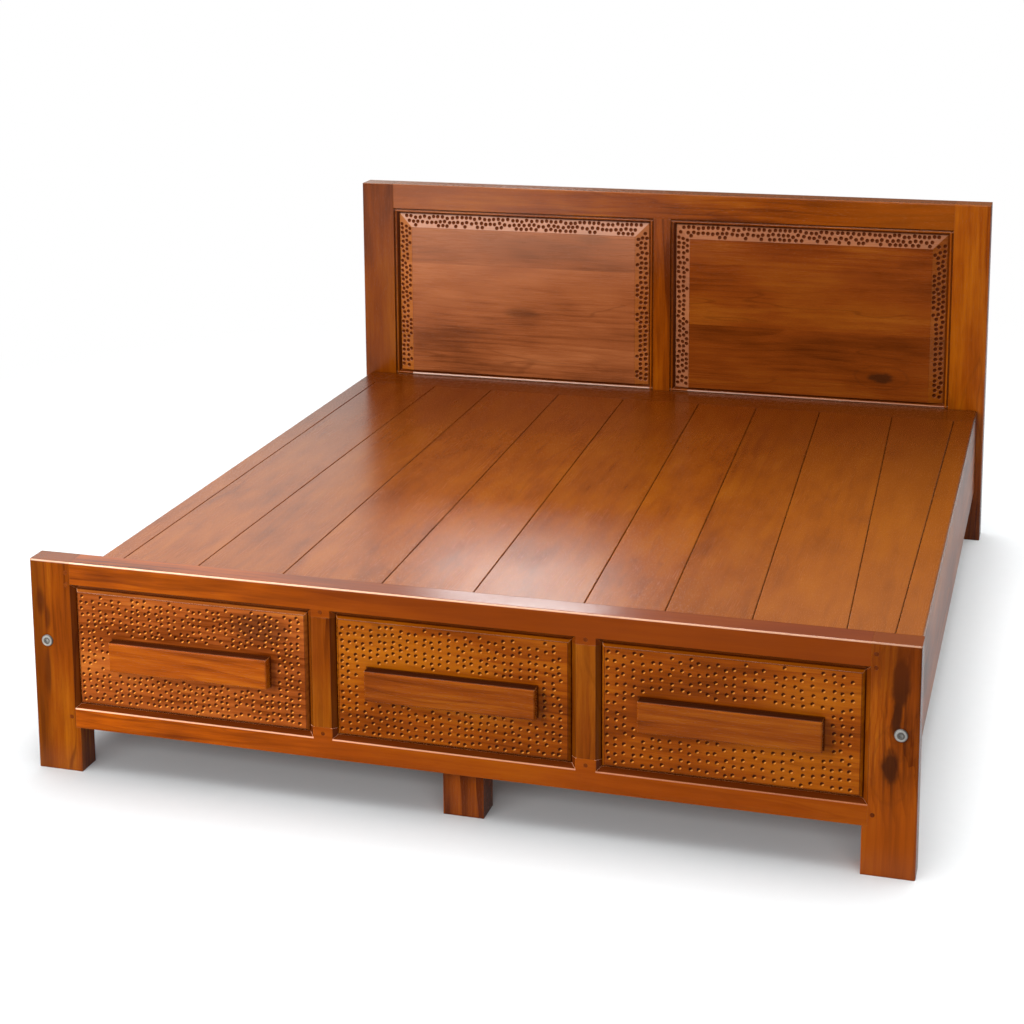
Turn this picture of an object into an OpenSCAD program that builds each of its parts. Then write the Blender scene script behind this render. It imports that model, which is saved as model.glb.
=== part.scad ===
// Panelled double bed frame in solid wood, bolted together at its four corner posts.
// X runs across the bed, Y from the footboard to the headboard, Z up from the floor.
// The origin is on the floor, at the middle of the whole part.

/* [Overall] */
// Width across the outside of the posts
bed_w = 1900; // [1700:10:2100]
// Clear length between the footboard and the headboard
clear_len = 2070; // [1900:10:2200]
// Height of the headboard
head_h = 992; // [860:2:1200]
// Height of the footboard
foot_h = 480; // [462:2:560]
// Height of the deck's top above the floor
deck_z = 390; // [370:2:420]

/* [Footboard] */
// Thickness of the footboard's frame
foot_t = 60; // [54:1:80]
// Width of a foot post as seen from the front
foot_post_w = 106; // [100:1:130]
// Height of the floor gap under the footboard
foot_gap = 102; // [80:1:115]
// Face height of the footboard's top rail
foot_top_face = 50; // [44:1:70]
// Face height of the footboard's bottom rail
foot_bottom_face = 44; // [38:1:60]
// Face width of a footboard muntin
foot_muntin_face = 42; // [36:1:70]
// How far the left muntin stands nearer the middle than the right one
muntin_shift = 16; // [0:1:40]
// Width of the sloped moulding round each footboard panel
stick_w = 10; // [8:0.5:12]
// Depth of that moulding below the face
stick_d = 10; // [8:0.5:11]
// How far the rails' faces run on to the muntins' top joints
ear_top = 16; // [13:1:24]
// How far the rails' faces run on to the muntins' bottom joints
ear_bottom = 25; // [13:1:30]

/* [Footboard bars] */
// Length of the raised bar on each footboard panel
bar_l = 366; // [200:2:400]
// Height of the raised bar
bar_h = 66; // [40:1:90]
// Thickness of the raised bar in front of its panel
bar_t = 22; // [12:1:30]
// Drop of the bars' middle below the panels' middle
bar_drop = 7; // [0:1:20]

/* [Headboard] */
// Thickness of the headboard's frame
head_t = 76; // [66:1:90]
// Width of a head post as seen from the front
head_post_w = 117; // [110:1:140]
// Face height of the headboard's top rail
head_top_face = 75; // [60:1:100]
// Face width of the headboard's muntin
head_muntin_face = 50; // [44:1:70]
// Height of the floor gap under the headboard
head_gap = 246; // [180:2:260]
// Width of the moulding round each headboard panel
bead_w = 16; // [14:0.5:20]
// Depth of that moulding below the face
bead_d = 11; // [9:0.5:12]
// Width of the narrow groove outside the moulding's bead
quirk_w = 4; // [3:0.5:5]
// Depth of that groove
quirk_d = 4; // [3:0.5:5]
// Width of the bead's flat
bead_flat = 3; // [2:0.5:4]
// Depth of the bead's flat below the face
bead_set = 1.5; // [1:0.5:2]
// Depth of the headboard openings' lower face line below the deck's top
head_line_drop = 3; // [0:1:10]
// Width of the sloped border on a headboard panel
border_w = 42; // [30:1:60]

/* [Panels] */
// Thickness of a panel's edge in its groove
tongue_t = 12; // [8:1:14]
// Depth of the grooves that hold the panels
groove_d = 10; // [8:1:12]
// Gap left round a panel's edge for the wood to move
panel_gap = 1; // [0.5:0.5:2]
// Depth of a panel's raised field below the frame's face
field_set = 3; // [2:0.5:5]
// Thickness of a panel at its raised field
panel_t = 24; // [20:1:26]
// Width of the slope at the edge of a footboard panel
lip_w = 6; // [4:0.5:9]
// Depth of a panel's outer edge behind the foot of the moulding
panel_back = 1.5; // [1:0.5:2]

/* [Side rails] */
// Thickness of a side rail
rail_t = 30; // [26:1:36]
// Height of the floor gap under the side rails
rail_gap = 149; // [120:1:170]
// Set-back of a side rail's outer face from the posts
rail_inset = 20; // [12:1:30]

/* [Deck] */
// Thickness of the deck's boards
board_t = 20; // [16:1:26]
// Width of the border strip along each side
border_strip_w = 56; // [46:1:80]
// Width of the cross strip at the head and at the foot
cross_strip_w = 125; // [80:1:150]
// Gap between neighbouring deck boards
board_gap = 1; // [0.5:0.5:3]
// Chamfer along the upper edges of the deck's boards
board_ease = 1.5; // [0.5:0.5:3]
// Widths of the deck boards at the foot end, as shares of the whole
shares_foot = [187, 209, 237, 213, 250, 177, 186, 196, 94];
// Widths of the deck boards at the head end, as shares of the whole
shares_head = [196, 179, 212, 201, 226, 171, 184, 207, 173];

/* [Under the deck] */
// Height of the cross bearers
bearer_h = 45; // [36:1:55]
// Width of a middle cross bearer
bearer_w = 70; // [50:1:90]
// Width of the cross bearer at each end
end_bearer_w = 150; // [100:2:170]
// Number of cross bearers between the two at the ends
mid_bearers = 4; // [2:1:6]
// Thickness of a ledger
ledger_t = 30; // [24:1:36]
// Height of a ledger
ledger_h = 40; // [30:1:50]
// Set-back of a ledger from each end of its rail
ledger_set = 62; // [58:1:68]
// Width of the centre beam
beam_w = 60; // [45:1:80]
// Height of the centre beam
beam_h = 80; // [60:1:90]
// Width of a centre leg, across the bed
leg_w = 88; // [76:1:110]
// Depth of a centre leg, along the bed
leg_d = 66; // [56:1:80]
// Set-off of the centre beam and its legs from the bed's middle
beam_x = 25; // [0:5:40]
// Set-back of the foot end's centre leg from the footboard's face
leg_set = 24; // [16:1:34]

/* [Joints and fasteners] */
// Length of the rails' tenons in the posts
tenon_l = 50; // [36:1:60]
// Thickness of a tenon
tenon_t = 18; // [12:1:22]
// Shoulder of a tenon on its rail's outer side
shoulder = 10; // [6:1:12]
// Shoulder of a tenon on its rail's moulded side
tenon_lip = 2; // [1:0.5:4]
// Shoulder at each side of a muntin's tenon
muntin_shoulder = 3; // [1:0.5:5]
// Length of a muntin's tenon
short_tenon_l = 22; // [16:1:26]
// Clearance round a tenon in its mortise
tenon_gap = 0.2; // [0.1:0.1:0.5]
// Diameter of the pegs that lock the footboard's tenons
peg_d = 9; // [6:0.5:10]
// Length of a peg
peg_l = 46; // [42:1:50]
// Distance of the pegs from the joint between a post and its rails
peg_set = 9.5; // [7:0.5:16]
// Distance of the outer peg in a post from the rail's outer edge
peg_in = 24; // [20:1:28]
// Spacing of the two pegs in a top joint
peg_step = 28; // [12:1:30]
// Distance of a muntin's upper peg below the top rail's face line
peg_drop = 5; // [2:0.5:8]
// Distance of a muntin's lower peg above the bottom rail's face line
peg_rise = 11; // [6:0.5:14]
// Diameter of a bed bolt
bolt_d = 8; // [6:1:10]
// Diameter of a bed bolt's round head
bolt_head_d = 26; // [20:1:30]
// Height of a bed bolt's head
bolt_head_h = 4; // [3:0.5:5]
// Depth of the seat that a bolt's head rests in
seat_d = 1; // [0.5:0.5:2]
// Width across the flats of the socket in a bolt's head
socket_w = 8; // [5:0.5:10]
// Depth of that socket
socket_deep = 3; // [1:0.5:3]
// Length of a bed bolt that goes into the side rail
bolt_reach = 60; // [50:1:66]
// Length of a bed bolt past the middle of its nut
bolt_past = 10; // [8:1:12]
// Height of the bed bolts above the floor
bolt_z = 297; // [270:1:310]
// Diameter of a barrel nut
nut_d = 14; // [12:1:16]
// Length of a barrel nut
nut_l = 24; // [20:1:25]
// Diameter of the dowels that keep a side rail from turning
dowel_d = 12; // [8:1:14]
// Length of a side rail's dowel
dowel_l = 70; // [50:2:80]
// Height of each dowel above or below the bed bolt
dowel_rise = 60; // [30:1:62]
// Diameter of a wood screw's shank
screw_d = 5; // [4:0.5:6]
// Diameter of a wood screw's head
screw_head_d = 10; // [8:0.5:12]
// Thickness of a wood screw's head, sunk in the wood
screw_sink = 3; // [2:0.5:4]
// Depth of a wood screw's tip in the piece that it holds to
screw_bite = 22; // [15:1:25]
// Distance of the first ledger screw from the end of the rail
ledger_screw_in = 150; // [100:5:180]
// Number of screws in each ledger
ledger_screws_n = 7; // [4:1:7]
// Clearance round a shank, nut, dowel or peg in its hole
hole_gap = 0.1; // [0.1:0.1:0.3]
// Rounding of the frame's outer edges
edge_r = 4; // [2:0.5:6]

/* [Hidden] */

wood_light = [0.72, 0.36, 0.11];
wood_mid = [0.62, 0.29, 0.09];
wood_dark = [0.45, 0.20, 0.07];
wood_deck = [0.66, 0.38, 0.22];
metal = [0.80, 0.80, 0.78];

arc_steps = 4;     // flats in a rounded edge
bore_fn = 40;
root = 5;          // how far a tenon starts inside its own piece

// Places along the bed
bar_proud = bar_t - field_set;
all_len = bar_proud + foot_t + clear_len + head_t + bolt_head_h;
foot_y = -all_len / 2 + bar_proud;     // footboard's front face
deck_y0 = foot_y + foot_t;             // footboard's back face
deck_y1 = deck_y0 + clear_len;         // headboard's front face
head_y1 = deck_y1 + head_t;            // headboard's back face

// Footboard: the face lines of its openings
half_w = bed_w / 2;
foot_face_x = half_w - foot_post_w + stick_w + 1;
foot_pw = (2 * foot_face_x - 2 * foot_muntin_face) / 3;
foot_z0 = foot_gap + foot_bottom_face;
foot_z1 = foot_h - foot_top_face;
even_muntin_x = (foot_pw + foot_muntin_face) / 2;
foot_muntin_x = [muntin_shift - even_muntin_x, even_muntin_x];
half_muntin = foot_muntin_face / 2;
foot_openings_x = [
  [-foot_face_x, foot_muntin_x[0] - half_muntin],
  [foot_muntin_x[0] + half_muntin, foot_muntin_x[1] - half_muntin],
  [foot_muntin_x[1] + half_muntin, foot_face_x]];

// Headboard: the face lines of its openings
head_face_x = half_w - head_post_w + bead_w;
head_z0 = deck_z - head_line_drop;
head_z1 = head_h - head_top_face;

// Deck
rail_x1 = half_w - rail_inset;         // side rail's outer face
rail_x0 = rail_x1 - rail_t;            // side rail's inner face
strip_x0 = rail_x1 - border_strip_w;   // inner edge of a border strip
board_z0 = deck_z - board_t;
bearer_z0 = board_z0 - bearer_h;
beam_z0 = bearer_z0 - beam_h;
ledger_z0 = bearer_z0 - ledger_h;
board_y0 = deck_y0 + cross_strip_w;
board_y1 = deck_y1 - cross_strip_w;
bolt_x = (rail_x0 + rail_x1) / 2;
nut_back = bolt_reach - bolt_past;     // from a rail's end to its barrel nut

// Small shapes

function arc(cx, cz, r, a0) =
  [for (i = [0:arc_steps]) let (a = a0 + 90 * i / arc_steps) [cx + r * cos(a), cz + r * sin(a)]];

// Rectangle with all four corners rounded
module soft_rect(x0, x1, z0, z1, r) {
  polygon(concat(
    arc(x1 - r, z1 - r, r, 0), arc(x0 + r, z1 - r, r, 90),
    arc(x0 + r, z0 + r, r, 180), arc(x1 - r, z0 + r, r, 270)));
}

module block(x0, x1, y0, y1, z0, z1) {
  translate([x0, y0, z0]) cube([x1 - x0, y1 - y0, z1 - z0]);
}

// A shape drawn in X and Z, made solid from y0 to y1
module slab_y(y0, y1) {
  translate([0, y1, 0]) rotate([90, 0, 0]) linear_extrude(y1 - y0) children();
}

// A shape drawn in Y and Z, made solid from x0 to x1
module slab_x(x0, x1) {
  translate([x0, 0, 0]) rotate([90, 0, 90]) linear_extrude(x1 - x0) children();
}

// A shape drawn in X and Y, made solid from z0 to z1
module slab_z(z0, z1) {
  translate([0, 0, z0]) linear_extrude(z1 - z0) children();
}

module hole_y(x, z, y0, y1, d) {
  translate([x, y1, z]) rotate([90, 0, 0]) cylinder(h = y1 - y0, d = d, $fn = bore_fn);
}

module hole_x(y, z, x0, x1, d) {
  translate([x0, y, z]) rotate([0, 90, 0]) cylinder(h = x1 - x0, d = d, $fn = bore_fn);
}

// Outer shape of a whole end board: its long edges are rounded
module board_envelope(y0, y1, h) {
  intersection() {
    slab_x(-half_w, half_w) soft_rect(y0, y1, -2 * edge_r, h, edge_r);
    slab_z(0, h) soft_rect(-half_w, half_w, y0, y1, edge_r);
  }
}

// What is cut away in front of a panel: pairs of [in from the face line, depth]
module opening_cut(x0, x1, z0, z1, y0, profile) {
  n = len(profile);
  across = concat(
    [for (i = [0:n - 1]) [x0 + profile[i][0], y0 + profile[i][1]]],
    [for (i = [n - 1:-1:0]) [x1 - profile[i][0], y0 + profile[i][1]]]);
  upright = concat(
    [for (i = [0:n - 1]) [y0 + profile[i][1], z0 + profile[i][0]]],
    [for (i = [n - 1:-1:0]) [y0 + profile[i][1], z1 - profile[i][0]]]);
  intersection() {
    slab_z(z0 - 1, z1 + 1) polygon(across);
    slab_x(x0 - 1, x1 + 1) polygon(upright);
  }
}

// Footboard

foot_profile = [[-1, -1], [0, 0], [stick_w, stick_d], [stick_w, foot_t + 1]];
foot_tongue_y = foot_y + field_set + panel_t - tongue_t;
foot_tenon_y = foot_y + (foot_t - tenon_t) / 2;

module foot_openings() {
  for (span = foot_openings_x) {
    opening_cut(span[0], span[1], foot_z0, foot_z1, foot_y, foot_profile);
    reach = groove_d + panel_gap - stick_w;
    block(span[0] - reach, span[1] + reach,
      foot_tongue_y, foot_tongue_y + tongue_t, foot_z0 - reach, foot_z1 + reach);
  }
}

// Tenon of a rail past the face line at x, on the right-hand side, grown by g
module rail_tenon(x, y, z0, z1, g) {
  block(x - root - g, x + tenon_l + g, y - g, y + tenon_t + g, z0 - g, z1 + g);
}

module foot_top_tenon(g) {
  rail_tenon(foot_face_x, foot_tenon_y, foot_z1 - stick_w + tenon_lip, foot_h - shoulder, g);
}

module foot_bottom_tenon(g) {
  rail_tenon(foot_face_x, foot_tenon_y, foot_gap + shoulder, foot_z0 + stick_w - tenon_lip, g);
}

// Tenon of a muntin with its face lines at x0 and x1, from z0 to z1, grown by g
module muntin_tenon(x0, x1, y, z0, z1, g) {
  block(x0 + muntin_shoulder - g, x1 - muntin_shoulder + g, y - g, y + tenon_t + g,
    z0 - g, z1 + g);
}

// Both tenons of the footboard muntin at x, grown by g
module foot_muntin_tenons(x, g) {
  x0 = x - half_muntin;
  x1 = x + half_muntin;
  top = foot_z1 - ear_top;
  bottom = foot_z0 + ear_bottom;
  muntin_tenon(x0, x1, foot_tenon_y, top - root, top + short_tenon_l, g);
  muntin_tenon(x0, x1, foot_tenon_y, bottom - short_tenon_l, bottom + root, g);
}

// Pegs: two in each top tenon, one in each bottom tenon and one at each end of a muntin
peg_x = foot_face_x + peg_set;
peg_z = [foot_h - peg_in, foot_h - peg_in - peg_step, foot_gap + peg_in];
muntin_peg_z = [foot_z1 - peg_drop, foot_z0 + peg_rise];

module peg_row(d, y_front) {
  for (s = [-1, 1], z = peg_z) hole_y(s * peg_x, z, y_front, foot_y + peg_l, d);
  for (x = foot_muntin_x, z = muntin_peg_z) hole_y(x, z, y_front, foot_y + peg_l, d);
}

module foot_cuts() {
  foot_openings();
  peg_row(peg_d + 2 * hole_gap, foot_y - 1);
}

module foot_post(s) {
  mirror([s < 0 ? 1 : 0, 0, 0]) difference() {
    intersection() {
      board_envelope(foot_y, deck_y0, foot_h);
      slab_y(foot_y, deck_y0) polygon([
        [half_w, 0], [half_w, foot_h], [foot_face_x, foot_h], [foot_face_x, foot_z1],
        [foot_face_x - stick_w, foot_z1 - stick_w], [foot_face_x - stick_w, foot_z0 + stick_w],
        [foot_face_x, foot_z0], [foot_face_x, foot_gap],
        [half_w - foot_post_w, foot_gap], [half_w - foot_post_w, 0]]);
    }
    foot_cuts();
    foot_top_tenon(tenon_gap);
    foot_bottom_tenon(tenon_gap);
    rail_end_holes(foot_y, deck_y0);
    bolt_seat(foot_y);
  }
}

// A footboard rail between its outer edge and its moulded edge: an ear, ear_long past the
// moulding's face line, meets each muntin. Its children are its right-hand tenon.
module foot_rail(outer_z, face_z, ear_long) {
  u = sign(face_z - outer_z);
  ear_x = half_muntin + stick_w;
  left_x = foot_muntin_x[0];
  right_x = foot_muntin_x[1];
  edge_z = face_z + u * stick_w;
  ear_z = face_z + u * ear_long;
  difference() {
    intersection() {
      board_envelope(foot_y, deck_y0, foot_h);
      union() {
        slab_y(foot_y, deck_y0) polygon([
          [-foot_face_x, outer_z], [-foot_face_x, face_z], [stick_w - foot_face_x, edge_z],
          [left_x - ear_x, edge_z], [left_x - ear_x, ear_z],
          [left_x + ear_x, ear_z], [left_x + ear_x, edge_z],
          [right_x - ear_x, edge_z], [right_x - ear_x, ear_z],
          [right_x + ear_x, ear_z], [right_x + ear_x, edge_z],
          [foot_face_x - stick_w, edge_z], [foot_face_x, face_z], [foot_face_x, outer_z]]);
        for (s = [0, 1]) mirror([s, 0, 0]) children();
      }
    }
    foot_cuts();
    for (x = foot_muntin_x) foot_muntin_tenons(x, tenon_gap);
  }
}

// The footboard muntin in the place i of the list
module foot_muntin(i) {
  x = foot_muntin_x[i];
  difference() {
    union() {
      block(x - half_muntin - stick_w, x + half_muntin + stick_w,
        foot_y, deck_y0, foot_z0 + ear_bottom, foot_z1 - ear_top);
      foot_muntin_tenons(x, 0);
    }
    foot_cuts();
  }
}

// A raised footboard panel: its field stands forward of its grooved edge
module foot_panel(i) {
  span = foot_openings_x[i];
  x = (span[0] + span[1]) / 2;
  w = (span[1] - span[0]) / 2 - stick_w;
  z0 = foot_z0 + stick_w;
  z1 = foot_z1 - stick_w;
  edge_y = foot_y + stick_d + panel_back;
  field_y = foot_y + field_set;
  back_y = field_y + panel_t;
  g = groove_d;
  union() {
    block(x - w - g, x + w + g, foot_tongue_y, foot_tongue_y + tongue_t, z0 - g, z1 + g);
    intersection() {
      slab_z(z0, z1) polygon([[x - w, back_y], [x - w, edge_y], [x - w + lip_w, field_y],
        [x + w - lip_w, field_y], [x + w, edge_y], [x + w, back_y]]);
      slab_x(x - w, x + w) polygon([[back_y, z0], [edge_y, z0], [field_y, z0 + lip_w],
        [field_y, z1 - lip_w], [edge_y, z1], [back_y, z1]]);
    }
  }
}

// The raised bar on a footboard panel: its front edges are rounded
module foot_bar(i) {
  x = (foot_openings_x[i][0] + foot_openings_x[i][1]) / 2;
  zc = (foot_z0 + foot_z1) / 2 - bar_drop;
  y1 = foot_y + field_set;
  y0 = y1 - bar_t;
  r = edge_r;
  intersection() {
    slab_x(x - bar_l / 2, x + bar_l / 2)
      polygon(concat([[y1, zc - bar_h / 2], [y1, zc + bar_h / 2]],
        arc(y0 + r, zc + bar_h / 2 - r, r, 90), arc(y0 + r, zc - bar_h / 2 + r, r, 180)));
    slab_z(zc - bar_h / 2, zc + bar_h / 2)
      polygon(concat([[x + bar_l / 2, y1], [x - bar_l / 2, y1]],
        arc(x - bar_l / 2 + r, y0 + r, r, 180), arc(x + bar_l / 2 - r, y0 + r, r, 270)));
  }
}

// Headboard

quirk_x = quirk_w * 3 / 2;             // where the groove's inner side meets the bead
head_profile = [[-1, -1], [0, 0], [quirk_w / 2, quirk_d], [quirk_w, quirk_d],
  [quirk_x, bead_set], [quirk_x + bead_flat, bead_set], [bead_w, bead_d], [bead_w, head_t + 1]];
head_pw = head_face_x - head_muntin_face / 2;
head_opening_x = [for (s = [-1, 1]) s * (head_face_x + head_muntin_face / 2) / 2];
head_tongue_y = deck_y1 + field_set + panel_t - tongue_t;
head_tenon_y = deck_y1 + (head_t - tenon_t) / 2;

module head_openings() {
  for (x = head_opening_x) {
    opening_cut(x - head_pw / 2, x + head_pw / 2, head_z0, head_z1, deck_y1, head_profile);
    reach = groove_d + panel_gap - bead_w;
    block(x - head_pw / 2 - reach, x + head_pw / 2 + reach,
      head_tongue_y, head_tongue_y + tongue_t, head_z0 - reach, head_z1 + reach);
  }
}

module head_top_tenon(g) {
  rail_tenon(head_face_x, head_tenon_y, head_z1 - bead_w + tenon_lip, head_h - shoulder, g);
}

module head_bottom_tenon(g) {
  rail_tenon(head_face_x, head_tenon_y, head_gap + shoulder, head_z0 + bead_w - tenon_lip, g);
}

// Both tenons of the headboard's muntin, grown by g
module head_muntin_tenons(g) {
  half = head_muntin_face / 2;
  muntin_tenon(-half, half, head_tenon_y, head_z1 - root, head_z1 + short_tenon_l, g);
  muntin_tenon(-half, half, head_tenon_y, head_z0 - short_tenon_l, head_z0 + root, g);
}

module head_post(s) {
  mirror([s < 0 ? 1 : 0, 0, 0]) difference() {
    intersection() {
      board_envelope(deck_y1, head_y1, head_h);
      slab_y(deck_y1, head_y1) polygon([
        [half_w, 0], [half_w, head_h], [head_face_x, head_h], [head_face_x, head_z1],
        [head_face_x - bead_w, head_z1 - bead_w], [head_face_x - bead_w, head_z0 + bead_w],
        [head_face_x, head_z0], [head_face_x, head_gap],
        [half_w - head_post_w, head_gap], [half_w - head_post_w, 0]]);
    }
    head_openings();
    head_top_tenon(tenon_gap);
    head_bottom_tenon(tenon_gap);
    rail_end_holes(deck_y1, head_y1);
    bolt_seat(head_y1);
  }
}

// A headboard rail between its outer edge and its moulded edge. Its children are its
// right-hand tenon.
module head_rail(outer_z, face_z) {
  m = head_muntin_face / 2;
  edge_z = face_z + sign(face_z - outer_z) * bead_w;
  difference() {
    intersection() {
      board_envelope(deck_y1, head_y1, head_h);
      union() {
        slab_y(deck_y1, head_y1) polygon([
          [-head_face_x, outer_z], [-head_face_x, face_z], [bead_w - head_face_x, edge_z],
          [-m - bead_w, edge_z], [-m, face_z], [m, face_z], [m + bead_w, edge_z],
          [head_face_x - bead_w, edge_z], [head_face_x, face_z], [head_face_x, outer_z]]);
        for (s = [0, 1]) mirror([s, 0, 0]) children();
      }
    }
    head_openings();
    head_muntin_tenons(tenon_gap);
  }
}

// A headboard panel: raised, with a sloped border at its top and sides
module head_panel(s) {
  x = s * (head_face_x + head_muntin_face / 2) / 2;
  w = head_pw / 2 - bead_w;
  z0 = head_z0 + bead_w;
  z1 = head_z1 - bead_w;
  edge_y = deck_y1 + bead_d + panel_back;
  field_y = deck_y1 + field_set;
  back_y = field_y + panel_t;
  g = groove_d;
  union() {
    block(x - w - g, x + w + g, head_tongue_y, head_tongue_y + tongue_t, z0 - g, z1 + g);
    intersection() {
      slab_z(z0, z1) polygon([[x - w, back_y], [x - w, edge_y], [x - w + border_w, field_y],
        [x + w - border_w, field_y], [x + w, edge_y], [x + w, back_y]]);
      slab_x(x - w, x + w) polygon([[back_y, z0], [field_y, z0],
        [field_y, z1 - border_w], [edge_y, z1], [back_y, z1]]);
    }
  }
}

// Side rails and what holds them

// Holes for the bolt and dowels of the right-hand rail, through or into a post
module rail_end_holes(y0, y1) {
  hole_y(bolt_x, bolt_z, y0 - 1, y1 + 1, bolt_d + 2 * hole_gap);
  inner = y0 == foot_y ? [y1 - dowel_l / 2, y1 + 1] : [y0 - 1, y0 + dowel_l / 2];
  for (k = [-1, 1])
    hole_y(bolt_x, bolt_z + k * dowel_rise, inner[0], inner[1], dowel_d + 2 * hole_gap);
}

// Shallow seat that a bolt's head rests in
module bolt_seat(y) {
  hole_y(bolt_x, bolt_z, y - seat_d, y + seat_d, bolt_head_d + 2 * hole_gap);
}

module side_rail(s) {
  mirror([s < 0 ? 1 : 0, 0, 0]) difference() {
    block(rail_x0, rail_x1, deck_y0, deck_y1, rail_gap, board_z0);
    for (e = [0, 1]) {
      end_y = e == 0 ? deck_y0 : deck_y1;
      k = e == 0 ? 1 : -1;
      far_y = end_y + k * (bolt_reach + 6);
      hole_y(bolt_x, bolt_z, min(end_y - k, far_y), max(end_y - k, far_y), bolt_d + 2 * hole_gap);
      dowel_y = end_y + k * dowel_l / 2;
      for (u = [-1, 1])
        hole_y(bolt_x, bolt_z + u * dowel_rise, min(end_y - k, dowel_y), max(end_y - k, dowel_y),
          dowel_d + 2 * hole_gap);
      hole_x(end_y + k * nut_back, bolt_z, rail_x0 - 1, rail_x0 + nut_l, nut_d + 2 * hole_gap);
    }
    ledger_screw_holes();
  }
}

module bed_bolts() {
  for (s = [-1, 1]) mirror([s < 0 ? 1 : 0, 0, 0]) {
    bed_bolt(foot_y, 1, foot_t);
    bed_bolt(head_y1, -1, head_t);
  }
}

// Bolt with a low round head and a hexagon socket, its head on the face at y
module bed_bolt(y, k, through) {
  translate([bolt_x, y, bolt_z]) rotate([k > 0 ? -90 : 90, 0, 0]) difference() {
    rotate_extrude($fn = bore_fn) polygon([
      [0, -bolt_head_h], [bolt_head_d / 2 - 2, -bolt_head_h], [bolt_head_d / 2, 2 - bolt_head_h],
      [bolt_head_d / 2, seat_d], [bolt_d / 2, seat_d], [bolt_d / 2, through + bolt_reach],
      [0, through + bolt_reach]]);
    translate([0, 0, -bolt_head_h - 1]) cylinder(h = socket_deep + 1, d = socket_w / cos(30), $fn = 6);
  }
}

// Cross nuts that the bolts screw into: each has its own hole for the bolt
module barrel_nuts() {
  for (s = [-1, 1], e = [0, 1]) mirror([s < 0 ? 1 : 0, 0, 0]) {
    y = e == 0 ? deck_y0 + nut_back : deck_y1 - nut_back;
    difference() {
      hole_x(y, bolt_z, rail_x0 + 1, rail_x0 + nut_l, nut_d);
      hole_y(bolt_x, bolt_z, y - nut_d, y + nut_d, bolt_d + 2 * hole_gap);
    }
  }
}

module rail_dowels() {
  for (s = [-1, 1], e = [0, 1], u = [-1, 1]) mirror([s < 0 ? 1 : 0, 0, 0]) {
    y = e == 0 ? deck_y0 : deck_y1;
    hole_y(bolt_x, bolt_z + u * dowel_rise, y - dowel_l / 2 + 0.5, y + dowel_l / 2 - 0.5, dowel_d);
  }
}

// Ledgers, beam, legs and bearers

ledger_screw_z = ledger_z0 + ledger_h / 2;
function ledger_screw_y(i) = deck_y0 + ledger_screw_in
  + i * (clear_len - 2 * ledger_screw_in) / (ledger_screws_n - 1);

// A screw with its head's face at the origin and its shank along +Z, or the hole for it
module screw(long, grow) {
  translate([0, 0, -grow]) cylinder(h = long + 2 * grow, d = screw_d + 2 * grow, $fn = bore_fn);
  translate([0, 0, -grow])
    cylinder(h = screw_sink + grow, d = screw_head_d + 2 * grow, $fn = bore_fn);
}

// The screws through the right-hand ledger into its rail
module ledger_screw_row(grow) {
  for (i = [0:ledger_screws_n - 1])
    translate([rail_x0 - ledger_t, ledger_screw_y(i), ledger_screw_z])
      rotate([0, 90, 0]) screw(ledger_t + screw_bite, grow);
}

module ledger_screw_holes() {
  ledger_screw_row(hole_gap);
}

module ledger(s) {
  mirror([s < 0 ? 1 : 0, 0, 0]) difference() {
    block(rail_x0 - ledger_t, rail_x0, deck_y0 + ledger_set, deck_y1 - ledger_set,
      ledger_z0, bearer_z0);
    ledger_screw_holes();
    bearer_screw_holes();
  }
}

module ledger_screws() {
  for (s = [-1, 1]) mirror([s < 0 ? 1 : 0, 0, 0]) ledger_screw_row(0);
}

// Middle of each bearer, from the foot to the head
bearer_first = deck_y0 + end_bearer_w / 2;
bearer_last = deck_y1 - end_bearer_w / 2;
function bearer_y(i) = bearer_first + i * (bearer_last - bearer_first) / (mid_bearers + 1);
bearer_x1 = rail_x0 - 1;
bearer_screw_x = rail_x0 - ledger_t / 2;
bearer_screw_l = bearer_h + screw_bite;

// The screws down through the bearers' ends into the right-hand ledger
module bearer_screw_row(grow) {
  for (i = [0:mid_bearers + 1])
    translate([bearer_screw_x, bearer_y(i), board_z0]) rotate([180, 0, 0])
      screw(bearer_screw_l, grow);
}

module bearer_screw_holes() {
  bearer_screw_row(hole_gap);
}

module bearer_screws() {
  for (s = [-1, 1]) mirror([s < 0 ? 1 : 0, 0, 0]) bearer_screw_row(0);
}

module bearer(i, w) {
  difference() {
    block(-bearer_x1, bearer_x1, bearer_y(i) - w / 2, bearer_y(i) + w / 2, bearer_z0, board_z0);
    for (s = [-1, 1]) mirror([s < 0 ? 1 : 0, 0, 0]) bearer_screw_holes();
    beam_screw_row(hole_gap);
  }
}

// The screws down through the middle bearers into the beam
module beam_screw_row(grow) {
  for (i = [1:mid_bearers])
    translate([beam_x, bearer_y(i), board_z0]) rotate([180, 0, 0]) screw(bearer_screw_l, grow);
}

module centre_beam() {
  difference() {
    block(beam_x - beam_w / 2, beam_x + beam_w / 2, deck_y0, deck_y1, beam_z0, bearer_z0);
    beam_screw_row(hole_gap);
  }
}

// Leg at the foot end: it is notched round the footboard's bottom rail
module centre_leg_foot() {
  y0 = foot_y + leg_set;
  slab_x(beam_x - leg_w / 2, beam_x + leg_w / 2) polygon([
    [y0, 0], [y0 + leg_d, 0], [y0 + leg_d, beam_z0], [deck_y0, beam_z0],
    [deck_y0, foot_gap], [y0, foot_gap]]);
}

module centre_leg(y) {
  block(beam_x - leg_w / 2, beam_x + leg_w / 2, y - leg_d / 2, y + leg_d / 2, 0, beam_z0);
}

// Deck

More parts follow.
